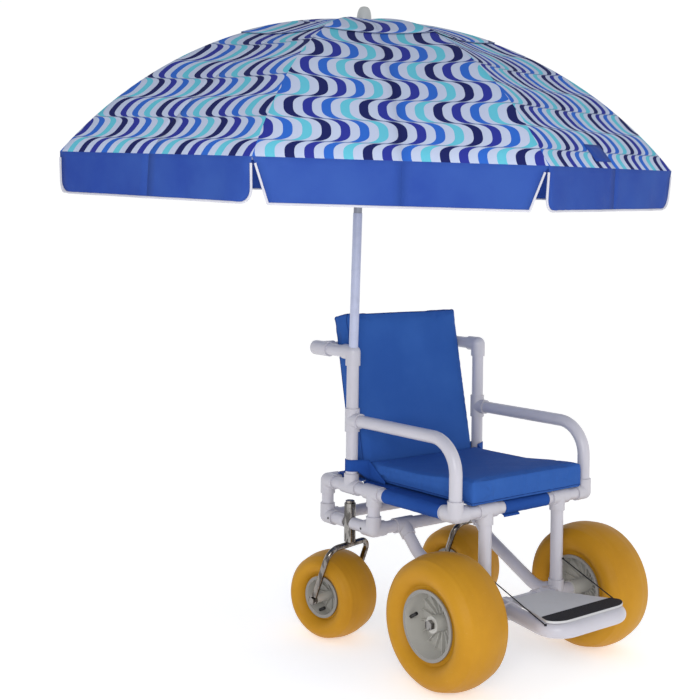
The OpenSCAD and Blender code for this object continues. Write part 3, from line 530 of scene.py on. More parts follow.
class Shape:
    """Points, faces and cloth coordinates of one piece, gathered skin by skin."""

    def __init__(self) -> None:
        """Starts empty."""
        self.points: list[Vec] = []
        self.cut: list[tuple[float, float]] = []
        self.faces: list[tuple[int, ...]] = []
        self.marks: list[int] = []

    def grid(
        self, rows: np.ndarray, around: bool = False, along: bool = False,
        caps: bool = False, cut: np.ndarray | None = None, mark: int = 0,
    ) -> None:
        """Adds a skin through a grid of points.

        Args:
            rows: the points, as rows by columns by 3.
            around: joins the last column to the first.
            along: joins the last row to the first.
            caps: closes the first and the last row.
            cut: the cloth coordinates, as rows by columns by 2.
            mark: which of the piece's finishes the skin has.
        """
        count, wide = rows.shape[:2]
        first = len(self.points)
        self.points.extend(map(tuple, rows.reshape(-1, 3)))
        flat = np.zeros((count * wide, 2)) if cut is None else cut.reshape(-1, 2)
        self.cut.extend(map(tuple, flat))
        new: list[tuple[int, ...]] = []
        for j in range(count if along else count - 1):
            for k in range(wide if around else wide - 1):
                a, b = j * wide + k, j * wide + (k + 1) % wide
                c, d = ((j + 1) % count) * wide + (k + 1) % wide, ((j + 1) % count) * wide + k
                new.append((first + a, first + b, first + c, first + d))
        if caps:
            new.append(tuple(first + k for k in reversed(range(wide))))
            new.append(tuple(first + (count - 1) * wide + k for k in range(wide)))
        self.faces.extend(new)
        self.marks.extend([mark] * len(new))

    def tube(self, path: np.ndarray, radius: float | np.ndarray, sides: int, loop: bool = False) -> None:
        """Adds a round tube along a path.

        Args:
            path: the points that it follows.
            radius: its radius, or one for each point.
            sides: how many sides its section has.
            loop: joins its end to its start.
        """
        path = np.asarray(path, float)
        ahead = np.roll(path, -1, 0) - np.roll(path, 1, 0)
        if not loop:
            ahead[0], ahead[-1] = path[1] - path[0], path[-1] - path[-2]
        ahead /= np.linalg.norm(ahead, axis=1)[:, None]
        side = np.cross(ahead[0], (0.0, 0.0, 1.0))
        if np.linalg.norm(side) < 0.1:
            side = np.cross(ahead[0], (1.0, 0.0, 0.0))
        radii = np.broadcast_to(np.asarray(radius, float), (len(path),))
        turns = np.linspace(0, 2 * math.pi, sides, endpoint=False)
        rows = []
        for point, way, r in zip(path, ahead, radii):
            side = side - way * (side @ way)
            side /= np.linalg.norm(side)
            up = np.cross(way, side)
            rows.append([point + r * (math.cos(t) * side + math.sin(t) * up) for t in turns])
        self.grid(np.array(rows), around=True, along=loop, caps=not loop)

    def lathe(self, profile: Sequence[tuple[float, float]], place: Matrix, steps: int) -> None:
        """Adds a skin turned from a closed profile.

        Args:
            profile: radius and height along the axis, point by point.
            place: carries the turning axis from +Z to its place.
            steps: how many steps go round.
        """
        turns = np.linspace(0, 2 * math.pi, steps, endpoint=False)
        rows = np.array([
            [place @ Vector((r * math.cos(t), r * math.sin(t), h)) for t in turns]
            for r, h in profile])
        self.grid(rows, around=True, along=True)

    def build(
        self, name: str, finishes: Finish | Sequence[Finish], sharp: float = 40.0,
    ) -> bpy.types.Object:
        """Makes the piece.

        Args:
            name: the piece's name.
            finishes: its finish, or one for each mark.
            sharp: the angle in degrees above which an edge stays crisp.

        Returns:
            The object, with no body yet.
        """
        several = [finishes] if isinstance(finishes, Finish) else list(finishes)
        mesh = bpy.data.meshes.new(name)
        mesh.from_pydata(self.points, [], self.faces)
        mesh.polygons.foreach_set("material_index", self.marks)
        layer = mesh.uv_layers.new(name="cloth")
        corners = np.zeros(len(mesh.loops), np.int32)
        mesh.loops.foreach_get("vertex_index", corners)
        layer.data.foreach_set("uv", np.array(self.cut, np.float32)[corners].ravel())
        for finish in several:
            mesh.materials.append(finish.material())
        tool = bmesh.new()
        tool.from_mesh(mesh)
        bmesh.ops.remove_doubles(tool, verts=tool.verts, dist=1e-7)
        bmesh.ops.recalc_face_normals(tool, faces=tool.faces)
        tool.to_mesh(mesh)
        tool.free()
        mesh.shade_smooth()
        mesh.set_sharp_from_angle(angle=math.radians(sharp))
        piece = bpy.data.objects.new(name, mesh)
        bpy.context.scene.collection.objects.link(piece)
        if several[0].slot:
            several[0].slot
        return piece


def placed(at: Vec, axis: Vec) -> Matrix:
    """A place whose +Z points along an axis."""
    return Matrix.Translation(at) @ Vector(axis).to_track_quat("Z", "Y").to_matrix().to_4x4()


# Studio


@dataclass(frozen=True)
class SoftBox:
    """A square soft light that hangs at one point and aims at another."""

    name: str
    at: Vec
    aim: Vec
    size: float
    power: float

    def hang(self) -> None:
        """Adds the light."""
        data = bpy.data.lights.new(self.name, "AREA")
        data.size = self.size
        data.energy = self.power
        light = bpy.data.objects.new(self.name, data)
        light.location = self.at
        light.rotation_euler = (Vector(self.aim) - Vector(self.at)).to_track_quat("-Z", "Y").to_euler()
        bpy.context.scene.collection.objects.link(light)


@dataclass(frozen=True)
class Studio:
    """The camera at the photograph's angle, the soft lights and the floor."""

    eye: Vec = (-2.8849, -2.6925, 1.4192)
    azimuth: float = -38.59
    pitch: float = -0.347
    roll: float = 0.72
    lens: float = 61.35
    rise: float = -0.161
    wall: float = 1.02
    room: float = 0.58
    boxes: tuple[SoftBox, ...] = (
        SoftBox("key", (-3.2, -2.9, 1.9), (0.0, 0.2, 1.0), 1.8, 82.0),
        SoftBox("fill", (1.6, -4.2, 1.8), (0.0, 0.2, 0.8), 2.4, 24.0))
    floor_half: float = 30.0
    floor_gap: float = 0.5 * MM

    def camera(self) -> None:
        """Sets up the camera."""
        data = bpy.data.cameras.new("camera")
        data.lens = self.lens
        data.sensor_width = 36.0
        data.shift_y = self.rise
        camera = bpy.data.objects.new("camera", data)
        bpy.context.scene.collection.objects.link(camera)
        turn = Matrix.Rotation(math.radians(self.azimuth), 4, "Z")
        tilt = Matrix.Rotation(math.radians(90 + self.pitch), 4, "X")
        lean = Matrix.Rotation(math.radians(self.roll), 4, "Z")
        camera.matrix_world = Matrix.Translation(self.eye) @ turn @ tilt @ lean
        bpy.context.scene.camera = camera

    def lights(self) -> None:
        """Hangs the soft boxes and the pale surround."""
        tree = Tree(bpy.data.worlds.new("studio"))
        across, along, height = tree.parts(tree.node("ShaderNodeTexCoord"))
        wall, room = (
            tree.node("ShaderNodeBackground", None, {"Strength": strength, "Color": WHITE})
            for strength in (self.wall, self.room))
        turn = math.radians(self.azimuth)
        nearer = -1.0 * (along * math.cos(turn) - across * math.sin(turn))
        away = nearer.ease(-0.35, 0.5).highest(height.ease(0.25, 0.8))
        both = tree.node("ShaderNodeMixShader", None, {0: away, 1: wall, 2: room})
        tree.node("ShaderNodeOutputWorld", None, {"Surface": both})
        bpy.context.scene.world = tree.owner
        for box in self.boxes:
            box.hang()
        bpy.context.scene.view_settings.view_transform = "Standard"

    def floor(self) -> None:
        """Lays the floor."""
        shape = Shape()
        ends = np.linspace(-self.floor_half, self.floor_half, 5)
        shape.grid(np.array([[(x, y, -self.floor_gap) for x in ends] for y in ends]))
        shape.build("studio_floor", Finish.FLOOR)


# Cords


@dataclass
class FootrestCords:
    """The two cords that hold the footrest up, with a knot at each end."""

    upper: Vec
    lower: Vec
    diameter: float = 4 * MM

    def build(self, side: Side) -> None:
        """Strings one cord.

        Args:
            side: the side of the chair.
        """
        turn = np.array((float(side.value), 1.0, 1.0))
        start, end = np.array(self.upper) * turn, np.array(self.lower) * turn
        path = np.array([start + (end - start) * t for t in np.linspace(0, 1, 24)])
        shape = Shape()
        shape.tube(path, self.diameter / 2, 10)
        cord = shape.build(f"footrest_cord_{side.word}", Finish.CORD)
        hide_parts("footrest_cords")
        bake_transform(cord)
        knots = [
            self._knot(f"cord_knot_upper_{side.word}", start, Body.FRAME),
            self._knot(f"cord_knot_lower_{side.word}", end, Body.FOOTREST)]

    def _knot(self, name: str, at: np.ndarray, body: Body) -> bpy.types.Object:
        """Ties one knot: a few turns of cord drawn tight."""
        turns = np.linspace(0, 2 * math.pi, 60, endpoint=False)
        ring = 1.15 * self.diameter
        path = np.array([
            at + ring * 0.55 * np.array((
                math.sin(2 * t) * 0.9 + math.sin(t) * 0.4,
                math.cos(2 * t) * 0.9 - math.cos(t) * 0.4,
                math.sin(3 * t) * 0.7)) for t in turns])
        shape = Shape()
        shape.tube(path, self.diameter * 0.42, 8, loop=True)
        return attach(shape.build(name, Finish.CORD), body.value)


# Cloth and padding


def moved(points: np.ndarray, place: Matrix) -> np.ndarray:
    """Carries points into a place."""
    turn = np.array(place.to_3x3())
    return points @ turn.T + np.array(place.translation)


def thicken(sheet: bpy.types.Object, thickness: float) -> None:
    """Gives a sheet its thickness, half to each side."""
    solid = sheet.modifiers.new("thickness", "SOLIDIFY")
    solid.thickness = thickness
    solid.offset = 0.0


@dataclass
class Canopy:
    """The parasol's cloth: eight gores drawn over the ribs, a vent cap and a valance flap under each gore.

    A wave of a flap has a height and a length, and the curl at its ends has a depth and a run. The tie is a patch
    between two radii, after one rib.
    """

    foot: Vec = (-0.302, 0.519, 0.95254)
    lean_front: float = 3.0
    lean_side: float = 1.0
    turn: float = 170.3
    top: float = 1180 * MM
    radius: float = 1032 * MM
    rise: float = 478 * MM
    hole: float = 15 * MM
    sag: float = 13 * MM
    drop: float = 122 * MM
    slit: float = 3 * MM
    fold: float = 42 * MM
    corner: float = 38 * MM
    long_wave: tuple[float, float] = (5 * MM, 310 * MM)
    short_wave: tuple[float, float] = (2.4 * MM, 113 * MM)
    curl: tuple[float, float] = (6 * MM, 50 * MM)
    cap: float = 452 * MM
    cap_lift: float = 2.2 * MM
    cap_shift: tuple[float, float] = (31 * MM, 47 * MM)
    piping: float = 3.4 * MM
    cloth: float = 1.2 * MM
    gathered: float = 0.34
    folded_gore: int = 2
    tied_rib: int = 3
    tie: tuple[float, float] = (972 * MM, 1018 * MM)
    tie_lift: float = 3 * MM
    tie_column: int = 9
    ribs: int = 8
    rows: int = 30
    columns: int = 13

    def __post_init__(self) -> None:
        """Works out the arc of the ribs and the parasol's place."""
        self.arc = (self.radius ** 2 + self.rise ** 2) / (2 * self.rise)
        self.centre = self.top - self.arc
        self.half = math.pi / self.ribs
        lean = Matrix.Rotation(math.radians(-self.lean_side), 4, "Y") @ Matrix.Rotation(
            math.radians(self.lean_front), 4, "X")
        self.place = Matrix.Translation(self.foot) @ lean

    def rib_place(self, rib: int) -> Matrix:
        """The frame of one rib: +X along it, +Z up the pole."""
        return self.place @ Matrix.Rotation(math.radians(self.turn) + 2 * self.half * (rib - 1), 4, "Z")

    def skin(self, radii: np.ndarray, side: int, lift: np.ndarray | float = 0.0) -> tuple[np.ndarray, np.ndarray]:
        """Half a gore beside a rib.

        Args:
            radii: distances from the pole.
            side: +1 for the half after the rib, -1 for the half before it.
            lift: height above the drawn cloth, for each radius.

        Returns:
            The points as rows by columns by 3, and the cloth's flat coordinates by 2.
        """
        across = np.linspace(0, 1, self.columns)
        r, t = np.meshgrid(radii, across, indexing="ij")
        z = self.centre + np.sqrt(self.arc ** 2 - r ** 2) + np.broadcast_to(np.reshape(lift, (-1, 1)), r.shape)
        x = r * (1 - t + t * math.cos(self.half) ** 2)
        y = side * r * t * math.sin(self.half) * math.cos(self.half)
        points = np.stack([x, y, z], -1)
        dip = self.sag * np.sin(math.pi * np.clip(r / self.radius, 0, 1)) * (1 - (1 - t) ** 2)
        inward = np.array((0.0, 0.0, self.centre)) - points
        inward /= np.linalg.norm(inward, axis=-1, keepdims=True)
        points = points + inward * dip[..., None]
        flat = np.stack([
            -side * (1 - t) * r * math.sin(self.half),
            self.arc * (math.asin(self.radius / self.arc) - np.arcsin(r / self.arc))], -1)
        return points, flat

    def inset(self, depth: float, gore: int) -> float:
        """How far a flap's end stands back from its rib, at a depth below the rim."""
        if gore == self.folded_gore:
            return self.slit + self.fold * depth / self.drop
        low = min(1.0, max(0.0, (depth - self.drop + self.corner) / self.corner))
        return self.slit + self.corner * (1 - math.sqrt(1 - low ** 2))

    def flap(self, rib: int, side: int) -> np.ndarray:
        """Half a valance flap, from the rib's end to the gore's middle, as rows down by columns across."""
        gore = rib if side > 0 else (rib - 2) % self.ribs + 1
        rim, _ = self.skin(np.array([self.radius]), side)
        rim = rim[0]
        run = rim[-1] - rim[0]
        length = float(np.linalg.norm(run))
        run /= length
        out = np.array((run[1], -run[0], 0.0)) * side
        (high, pitch), (low, close), (tuck, fade) = self.long_wave, self.short_wave, self.curl
        rows = []
        for depth in self.drop * np.sin(np.linspace(0, math.pi / 2, 12)):
            start = self.inset(float(depth), gore) if depth else 0.0
            along = np.linspace(start, length, self.columns)
            gone = 2 * math.pi * side * (along - length)
            wave = high * np.sin(gone / pitch + 1.3 * gore)
            wave += low * np.sin(gone / close + 2.1 * gore + 9 * depth)
            hang = (depth / self.drop) ** 1.3
            push = hang * (wave - tuck * np.exp(-(along - start) / fade))
            points = rim[0] + along[:, None] * run + push[:, None] * out
            points[:, 2] -= depth
            rows.append(points)
        rows[0] = rim
        return np.array(rows)

    def panel(self, rib: int) -> None:
        """Sews one panel: the cloth beside one rib, half way to each neighbour."""
        shape, binding = Shape(), Shape()
        radii = np.linspace(self.hole, self.radius, self.rows)
        cap = np.linspace(self.hole, self.cap, 12)
        lift = self.cap_lift * (1 + (cap / self.cap) ** 2)
        place = self.rib_place(rib)
        for side in (-1, 1):
            points, flat = self.skin(radii, side)
            shape.grid(moved(points, place), cut=flat)
            points, flat = self.skin(cap, side, lift)
            shape.grid(moved(points, place), cut=flat + np.array(self.cap_shift))
            flap = moved(self.flap(rib, side), place)
            shape.grid(flap, mark=1)
            border = np.concatenate([flap[1:, 0], flap[-1, 1:]])
            binding.tube(border, self.piping, 8)
        if rib == self.tied_rib:
            patch, _ = self.skin(np.linspace(*self.tie, 6), 1, self.tie_lift)
            shape.grid(moved(patch[:, self.tie_column:], place), mark=1)
        cloth = shape.build(f"canopy_cloth_{rib}", (Finish.PRINT, Finish.VALANCE), 50.0)
        thicken(cloth, self.cloth)
        edging = binding.build(f"canopy_binding_{rib}", Finish.BINDING)
        pivot = place @ Vector((0.0, 0.0, self.top))
        across = place.to_3x3() @ Vector((0.0, 1.0, 0.0))
        for piece in (cloth, edging):
            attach(piece, f"rib_arm_{rib}")
            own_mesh(piece)
        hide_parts(f"canopy_panel_{rib}")
        self.declare()

    def declare(self) -> None:
        """Works out one panel's width, slope and cloth area, which nothing uses."""
        width = 2 * self.radius * math.sin(self.half)
        slope = self.arc * math.asin(self.radius / self.arc)
        area = width * slope / 2 + width * self.drop + self.cap ** 2 * math.sin(self.half)


@dataclass
class Cushion:
    """A boxed foam cushion in a sewn cover, swollen by a short cloth run and seamed along its edges.

    The seams stand at heights above the side that rests. A drawn seam has a depth and a width, and so have the
    puckers beside it. The settling starts behind the front edge and grows over a run.
    """

    node: str
    size: Vec
    place: Matrix
    seams: tuple[float, ...]
    settled: float = 0.0
    settling: tuple[float, float] = (40 * MM, 260 * MM)
    bulge: float = 6 * MM
    pressure: float = 4.0
    steps: int = 20
    edge: float = 4 * MM
    voxel: float = 5 * MM
    drawn: tuple[float, float] = (1.8 * MM, 4.5 * MM)
    puckered: tuple[float, float] = (1.1 * MM, 22 * MM)
    thread: float = 1.2 * MM
    squareness: float = 0.11
    clear: float = 0.3 * MM

    def outline(self, height: float) -> np.ndarray:
        """A rounded outline a little outside the cushion at one height, in its own frame."""
        turn = np.linspace(0, 2 * math.pi, 360, endpoint=False)
        way, up = np.stack([np.cos(turn), np.sin(turn)], -1), np.full((len(turn), 1), height)
        reach = np.array(self.size[:2]) / 2 + 10 * MM
        return np.hstack([reach * np.sign(way) * np.abs(way) ** self.squareness, up])

    def block(self) -> bpy.types.Object:
        """The cushion before it swells: a block with rounded edges, remeshed evenly."""
        width, depth, thick = self.size
        tool = bmesh.new()
        bmesh.ops.create_cube(tool, size=1.0)
        bmesh.ops.scale(tool, vec=(width, depth, thick), verts=tool.verts)
        bmesh.ops.translate(tool, vec=(0, 0, thick / 2), verts=tool.verts)
        bmesh.ops.bevel(tool, geom=tool.edges[:], offset=self.edge, segments=4, profile=0.6, affect="EDGES")
        mesh = bpy.data.meshes.new(self.node + "_cover")
        tool.to_mesh(mesh)
        tool.free()
        block = bpy.data.objects.new(self.node + "_cover", mesh)
        bpy.context.scene.collection.objects.link(block)
        remesh = block.modifiers.new("even", "REMESH")
        remesh.mode = "VOXEL"
        remesh.voxel_size = self.voxel
        self.settle(block)
        return block

    @staticmethod
    def settle(piece: bpy.types.Object) -> None:
        """Turns a piece's modifiers into its mesh."""
        evaluated = piece.evaluated_get(bpy.context.evaluated_depsgraph_get())
        mesh = bpy.data.meshes.new_from_object(evaluated)
        piece.modifiers.clear()
        piece.data = mesh

    @staticmethod
    def corners(piece: bpy.types.Object) -> np.ndarray:
        """The mesh's points."""
        points = np.zeros(len(piece.data.vertices) * 3)
        piece.data.vertices.foreach_get("co", points)
        return points.reshape(-1, 3)

    def swell(self, piece: bpy.types.Object) -> None:
        """Blows the cover up against its stitching."""
        before = self.corners(piece)
        cloth = piece.modifiers.new("swell", "CLOTH")
        cloth.settings.use_pressure = True
        cloth.settings.uniform_pressure_force = self.pressure
        cloth.settings.effector_weights.gravity = 0.0
        cloth.collision_settings.use_collision = False
        scene = bpy.context.scene
        for step in range(1, self.steps + 1):
            scene.frame_set(step)
        self.settle(piece)
        scene.frame_set(1)
        way = self.corners(piece) - before
        far = np.linalg.norm(way, axis=1, keepdims=True)
        points = before + way * np.minimum(1.0, self.bulge / np.maximum(far, 1e-9))
        piece.data.vertices.foreach_set("co", points.ravel())

    def shape(self, piece: bpy.types.Object) -> None:
        """Flattens the side that rests, draws the seams in and lets the cover pucker beside them."""
        points = self.corners(piece)
        width, depth, thick = self.size
        limits = np.array(((-width / 2, -depth / 2, 0.0), (width / 2, depth / 2, thick + self.bulge)))
        points = np.clip(points, *limits)
        side = np.maximum(np.abs(points[:, 0]) / (width / 2), np.abs(points[:, 1]) / (depth / 2))
        around = np.arctan2(points[:, 1] / depth, points[:, 0] / width)
        middle = np.array((0.0, 0.0, thick / 2))
        inward = middle - points
        inward[:, 2] *= 0.4
        inward /= np.linalg.norm(inward, axis=1, keepdims=True)
        pucker = np.sin(around * 71 + 2.3 * np.sin(around * 9)) * np.sin(around * 13 + 1.1)
        draw = np.zeros(len(points))
        (deep, wide), (crease, fade), (start, run) = self.drawn, self.puckered, self.settling
        for height in self.seams:
            gap = np.hypot(points[:, 2] - height, np.maximum(0.0, 0.975 - side) * 0.4)
            draw += deep * np.exp(-(gap / wide) ** 2) + crease * pucker * np.exp(-gap / fade)
        points += inward * draw[:, None]
        behind = np.clip((points[:, 1] + depth / 2 - start) / run, 0, 1)
        points[:, 2] -= self.settled * behind ** 2 * (3 - 2 * behind) * points[:, 2] / thick
        points[:, 2] = np.maximum(points[:, 2], self.clear)
        piece.data.vertices.foreach_set("co", points.ravel())
        piece.data.update()

    def seam(self, cover: bpy.types.Object) -> bpy.types.Object:
        """Lays a thread of piping in each drawn-in seam, on the cover's own surface."""
        shape = Shape()
        for height in self.seams:
            rail = []
            for point in self.outline(height):
                hit, spot, normal, _ = cover.closest_point_on_mesh(Vector(point))
                rail.append(np.array(spot) + np.array(normal) * self.thread / 3 if hit else point)
            shape.tube(moved(np.array(rail), self.place), self.thread, 6, loop=True)
        return shape.build(self.node + "_seams", Finish.SEAM)

    def build(self) -> None:
        """Makes the cushion and puts it on the frame."""
        cover = self.block()
        self.swell(cover)
        self.shape(cover)
        seams = self.seam(cover)
        cover.data.transform(self.place)
        cover.data.materials.clear()
        cover.data.materials.append(Finish.CUSHION.material())
        cover.data.shade_smooth()
        smooth = cover.modifiers.new("smooth", "SUBSURF")
        smooth.levels = smooth.render_levels = 1
        for piece in (cover, seams):
            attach(piece, Body.FRAME.value)
            Finish.CUSHION.slot
        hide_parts(self.node)


@dataclass
class Sling:
    """The seat's sling: cloth stretched between sleeves round the side, front and rear rails.

    A strap's edges have one height beside the seat and one on the post. The pull tab's section goes by places along
    the chair and drops below the front rail.
    """

    rail_x: float = 302 * MM
    rail_z: float = 532.54 * MM
    rear: float = 652 * MM
    radius: float = 22.4 * MM
    cloth: float = 2.2 * MM
    start: float = 56 * MM
    end: float = 333 * MM
    front: tuple[float, float] = (-97 * MM, 108 * MM)
    flap: tuple[float, float] = (283.5 * MM, 477 * MM)
    lip: tuple[float, float] = (9.5 * MM, 15 * MM)
    rear_half: float = 268 * MM
    wrap_angles: tuple[float, float] = (-250.0, 90.0)
    dip: float = 4 * MM
    lap: float = 2 * MM
    pull: float = 0.5 * MM
    hem: float = 1.6 * MM
    post: tuple[float, float] = (302 * MM, 519 * MM)
    strap_start: tuple[float, float] = (262.2 * MM, 386 * MM)
    strap_turn: tuple[float, float] = (262.2 * MM, 474 * MM)
    strap_end: tuple[float, float] = (266.8 * MM, 516 * MM)
    strap_low: tuple[float, float] = (557 * MM, 588 * MM)
    strap_high: tuple[float, float] = (566 * MM, 628 * MM)
    tab: tuple[tuple[float, float], ...] = (
        (8 * MM, 1 * MM), (-2 * MM, 2 * MM), (-7 * MM, 5 * MM), (-9 * MM, 10 * MM))
    tab_ends: tuple[float, float] = (-93 * MM, -22 * MM)

    def wrap(self, centre: float, way: float) -> list[tuple[float, float]]:
        """A sleeve's section round a rail, ending on its top, as distances across and heights."""
        turns = np.radians(np.linspace(*self.wrap_angles, 40))
        return [
            (centre - way * self.radius * math.cos(a), self.rail_z + self.radius * math.sin(a)) for a in turns]

    def strip(self, section: list[tuple[float, float]], along: np.ndarray, lengthwise: bool, shape: Shape) -> None:
        """Draws a strip of cloth with that section along the chair, or across it."""
        rows = []
        for k, place in enumerate(along):
            row = []
            for j, (across, height) in enumerate(section):
                pull = self.pull * math.sin(0.9 * j + 0.31 * k) * math.sin(0.53 * k)
                row.append((across, place, height + pull) if lengthwise else (place, across, height + pull))
            rows.append(row)
        shape.grid(np.array(rows))

    def build(self) -> None:
        """Makes the sling and its hems."""
        shape = Shape()
        top = self.rail_z + self.radius
        right = self.wrap(-self.rail_x, 1.0)
        left = self.wrap(self.rail_x, -1.0)
        flat = [(x, top - self.dip * math.cos(x / self.rail_x * math.pi / 2))
                for x in np.linspace(-self.rail_x + 0.02, self.rail_x - 0.02, 24)]
        self.strip(right + flat + left[::-1], np.linspace(self.start, self.end, 48), True, shape)
        front = self.wrap(0.0, 1.0) + [(y, top) for y in np.linspace(0.01, self.start + self.lap, 6)]
        self.strip(front, np.linspace(*self.front, 30), False, shape)
        half, until = self.flap
        inward, down = self.lip
        lip = [(half - inward * t, top - down * t) for t in (1.0, 0.6, 0.25, 0.0)]
        flap = [(-x, z) for x, z in lip] + [(x, top) for x in np.linspace(-half, half, 30)[1:-1]] + lip[::-1]
        self.strip(flap, np.linspace(self.end - self.lap, until, 12), True, shape)
        rear = [(y, top) for y in np.linspace(until - self.lap, self.rear - 0.01, 14)]
        rear += self.wrap(self.rear, -1.0)[::-1]
        self.strip(rear, np.linspace(-self.rear_half, self.rear_half, 40), False, shape)
        sling = shape.build("seat_sling_cloth", Finish.SLING)
        thicken(sling, self.cloth)
        hems, straps = self.hems(), self.straps()
        for piece in (sling, hems, straps):
            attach(piece, Body.FRAME.value)
        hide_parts("seat_sling")

    def hems(self) -> bpy.types.Object:
        """Turns over the sleeves' ends: a pale ring at each."""
        shape = Shape()
        turns = np.linspace(0, 2 * math.pi, 48, endpoint=False)
        for side in Side:
            for y in (self.start, self.end):
                ring = np.array([
                    (side.value * self.rail_x + self.radius * math.cos(t), y, self.rail_z + self.radius * math.sin(t))
                    for t in turns])
                shape.tube(ring, self.hem, 8, loop=True)
        return shape.build("sling_hems", Finish.BINDING)

    def strap_path(self) -> np.ndarray:
        """The left strap from above: back along the seat, round the post and forward to its end."""
        centre, start, near, end = (
            np.array(point) for point in (self.post, self.strap_start, self.strap_turn, self.strap_end))

        def touch(point: np.ndarray, way: int) -> float:
            """Where a straight run from a point meets the post, as an angle round it."""
            x, y = point - centre
            return math.atan2(y, x) + way * math.acos(self.radius / math.hypot(x, y))

        turns = np.linspace(touch(near, 1), touch(end, -1) + 2 * math.pi, 40)
        ring = [centre + self.radius * np.array((math.cos(a), math.sin(a))) for a in turns]
        return np.array([start, near, ring[0] + (near - ring[0]) * 0.3, *ring, end])

    def straps(self) -> bpy.types.Object:
        """Ties the seat to the back posts with a band round each, and hangs the pull tab under the front sleeve."""
        shape = Shape()
        path = self.strap_path()
        low = [self.strap_low[0]] * 2 + [self.strap_low[1]] * (len(path) - 2)
        high = [self.strap_high[0]] + [self.strap_high[1]] * (len(path) - 1)
        for side in Side:
            shape.grid(np.array([
                [(side.value * x, y, a + (b - a) * t) for (x, y), a, b in zip(path, low, high)]
                for t in np.linspace(0, 1, 6)]))
        under = self.rail_z - self.radius
        shape.grid(np.array([[(x, y, under - drop) for y, drop in self.tab] for x in np.linspace(*self.tab_ends, 10)]))
        straps = shape.build("sling_straps", Finish.SLING)
        thicken(straps, self.cloth)
        return straps


# Wheels


@dataclass
class BalloonTyre:
    """A low-pressure tyre on its hub: a full round skin with a mould line and shoulder lines, and a valve stem.

    Each line has its place as a share of the half width, its height and its width. The valve runs from its base to
    its tip, back and up from the axle, through steps that have a share of its length and a radius.
    """

    node: str
    body: str
    diameter: float
    width: float
    rim: float
    rim_width: float
    place: Matrix
    valve: tuple[tuple[float, float], tuple[float, float]]
    fullness: float = 0.95
    seat: float = 4.1 * MM
    bead: float = 9.2 * MM
    lip: float = 8.5 * MM
    lines: tuple[Vec, ...] = ((0.0, 0.7 * MM, 1.6 * MM), (0.72, 1.6 * MM, 6 * MM), (0.42, -1.1 * MM, 11 * MM))
    valve_depth: float = 19 * MM
    valve_steps: tuple[tuple[float, float], ...] = (
        (0.0, 5.6 * MM), (0.42, 5.6 * MM), (0.46, 4.2 * MM), (0.6, 4.2 * MM), (0.64, 6.2 * MM), (1.0, 5.6 * MM))

    def profile(self) -> list[tuple[float, float]]:
        """The tyre's section: radius and place along the axle."""
        seat = self.rim / 2 - self.seat
        centre = (self.diameter / 2 + seat) / 2
        rise, half = self.diameter / 2 - centre, self.width / 2
        bead = self.rim_width / 2 - self.bead
        start = math.acos(min(1.0, (bead / half) ** (1 / self.fullness)))
        made = [(seat, bead)]
        for turn in np.linspace(-start, math.pi + start, 120):
            out, along = math.sin(turn), math.cos(turn)
            r = centre + rise * math.copysign(abs(out) ** self.fullness, out)
            h = half * math.copysign(abs(along) ** self.fullness, along)
            line = sum(
                high * math.exp(-((abs(h) - share * half) / wide) ** 2)
                for share, high, wide in self.lines) if out > 0 else 0.0
            made.append((r + line * out, h + line * along))
        made.append((seat, -bead))
        return made

    def build(self) -> None:
        """Makes the tyre."""
        shape = Shape()
        shape.lathe(self.profile(), self.place, 144)
        tyre = shape.build(self.node + "_skin", Finish.TYRE, 60.0)
        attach(tyre, self.body)
        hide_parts(self.node)
        self.hub()
        self.stem()

    def hub(self) -> None:
        """Gives the hub one grey in two copies: the dish painted lighter against the shade that falls in it, the rim
        painted darker.
        """
        inward = self.place.inverted()
        lip = self.rim / 2 - self.lip

        def mark(at: Vector) -> int:
            """One on the rim, else zero."""
            spot = inward @ at
            return int(math.hypot(spot.x, spot.y) > lip)

        dress(self.node.replace("tyre", "hub"), (Finish.HUB, Finish.RIM), mark)

    def stem(self) -> None:
        """Puts the black valve stem in the dish, from the barrel's wall inward."""
        out = -1.0 if "right" in self.node else 1.0
        turned = np.array(self.place.to_3x3())
        axle, up = turned[:, 2], np.array((0.0, 0.0, 1.0))
        centre = np.array(self.place.translation) + axle * out * (self.rim_width / 2 - self.valve_depth)
        back = np.cross(up, axle)
        base, tip = (centre + back * y + up * z for y, z in self.valve)
        shares, radii = np.array(self.valve_steps).T
        shape = Shape()
        shape.tube(base + shares[:, None] * (tip - base), radii, 14)
        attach(shape.build(self.node.replace("tyre", "valve"), Finish.FASTENER), self.body)


def dress(name: str, finishes: Sequence[Finish], pick: Callable[[Vector], int]) -> None:
    """Gives one CAD node several finishes, face by face.

    Args:
        name: the node.
        finishes: its finishes.
        pick: which of them a face has, by its middle.
    """
    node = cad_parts[name]
    node.data.materials.clear()
    for finish in finishes:
        node.data.materials.append(finish.material())
    for face in node.data.polygons:
        face.material_index = pick(node.matrix_world @ face.center)


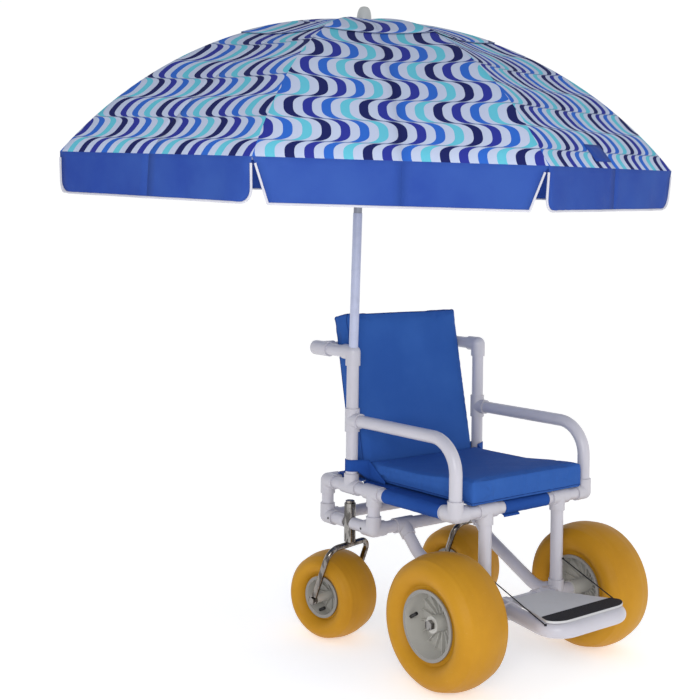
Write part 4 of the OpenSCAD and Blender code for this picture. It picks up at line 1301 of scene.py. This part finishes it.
def dress_nodes() -> None:
    """Gives the CAD nodes that stay in sight their finishes."""
    finishes = {
        Finish.PIPE: ("side_rails", "cross_rails", "posts", "armrests", "caster_frame_tubes",
                      "leg_tubes", "push_handle", "footrest_frame"),
        Finish.FITTING: ("corner_fittings", "tee_fittings", "handle_elbows", "axle_crosses"),
        Finish.STEEL: ("caster_heads", "wheel_axle"),
        Finish.CHROME: ("caster_fork_right", "caster_fork_left"),
        Finish.BOARD: ("footrest_plate",),
        Finish.GRIP: ("footrest_grip",),
        Finish.POLE: ("pole_lower",),
        Finish.MAST: ("pole_upper",),
        Finish.DARK: ("crown", "runner"),
        Finish.FINIAL: ("finial",),
        Finish.RIB: tuple(f"{kind}_{i}" for kind in ("rib", "stretcher") for i in range(1, 9)),
    }
    for finish, names in finishes.items():
        for name in names:
            dress(name, (finish,), lambda at: 0)
            log.info("dressed %s in %s", name, finish.name.lower())
    white_above = 0.8
    dress("set_screws", (Finish.FASTENER, Finish.PIPE), lambda at: int(at.z > white_above))


def tyres() -> Iterable[BalloonTyre]:
    """The four tyres."""
    swivelled = {Side.RIGHT: 12.4, Side.LEFT: 6.0}
    for side in Side:
        sign = side.value
        yield BalloonTyre(
            node=f"front_tyre_{side.word}", body=f"{side.word}_front_wheel",
            diameter=420 * MM, width=196 * MM, rim=218 * MM, rim_width=162 * MM,
            place=placed((sign * 337 * MM, 0.0, 210 * MM), (1.0, 0.0, 0.0)),
            valve=((0.0935, 0.001), (0.066, 0.0185)))
        swivel = Matrix.Translation((sign * 302 * MM, 525 * MM, 0.0)) @ Matrix.Rotation(
            math.radians(swivelled[side]), 4, "Z")
        yield BalloonTyre(
            node=f"caster_tyre_{side.word}", body=f"{side.word}_caster_wheel",
            diameter=298 * MM, width=182 * MM, rim=142 * MM, rim_width=136 * MM,
            place=swivel @ placed((0.0, 70 * MM, 149 * MM), (1.0, 0.0, 0.0)),
            valve=((0.019, -0.0525), (-0.002, -0.0415)))


def cushions() -> Iterable[Cushion]:
    """The seat and the back."""
    slope = math.radians(11.7)
    seat_z, low_z, lower_y = 0.55884, 0.57348, 0.4905
    front, gap = 0.036, 0.006
    depth = lower_y - (low_z - seat_z) * math.tan(slope) - gap + front
    yield Cushion(
        "seat_cushion", (0.520, depth, 0.076), Matrix.Translation((0.0, depth / 2 - front, seat_z)),
        (0.006, 0.070), 17 * MM)
    lean = Matrix.Rotation(math.pi / 2 - slope, 4, "X")
    yield Cushion(
        "back_cushion", (0.530, 0.566, 0.084),
        Matrix.Translation((0.0, lower_y, low_z)) @ lean @ Matrix.Translation((0.0, 0.283, -0.084)),
        (0.006, 0.078))


def main() -> None:
    """Builds the chair's pieces in order."""
    logging.basicConfig(level=logging.INFO, format="%(message)s")
    studio = Studio()
    studio.camera()
    cords = FootrestCords((0.17678, -0.02219, 0.326), (0.17513, -0.26393, 0.236))
    for side in Side:
        cords.build(side)
        log.info("strung the %s cord", side.word)
    studio.lights()
    studio.floor()
    dress_nodes()
    for cushion in cushions():
        cushion.build()
        log.info("sewed the %s", cushion.node)
    Sling().build()
    for tyre in tyres():
        tyre.build()
        log.info("blew up the %s", tyre.node)
    canopy = Canopy()
    for rib in range(1, canopy.ribs + 1):
        canopy.panel(rib)
        log.info("drew canopy panel %d", rib)


if __name__ == "__main__":
    main()
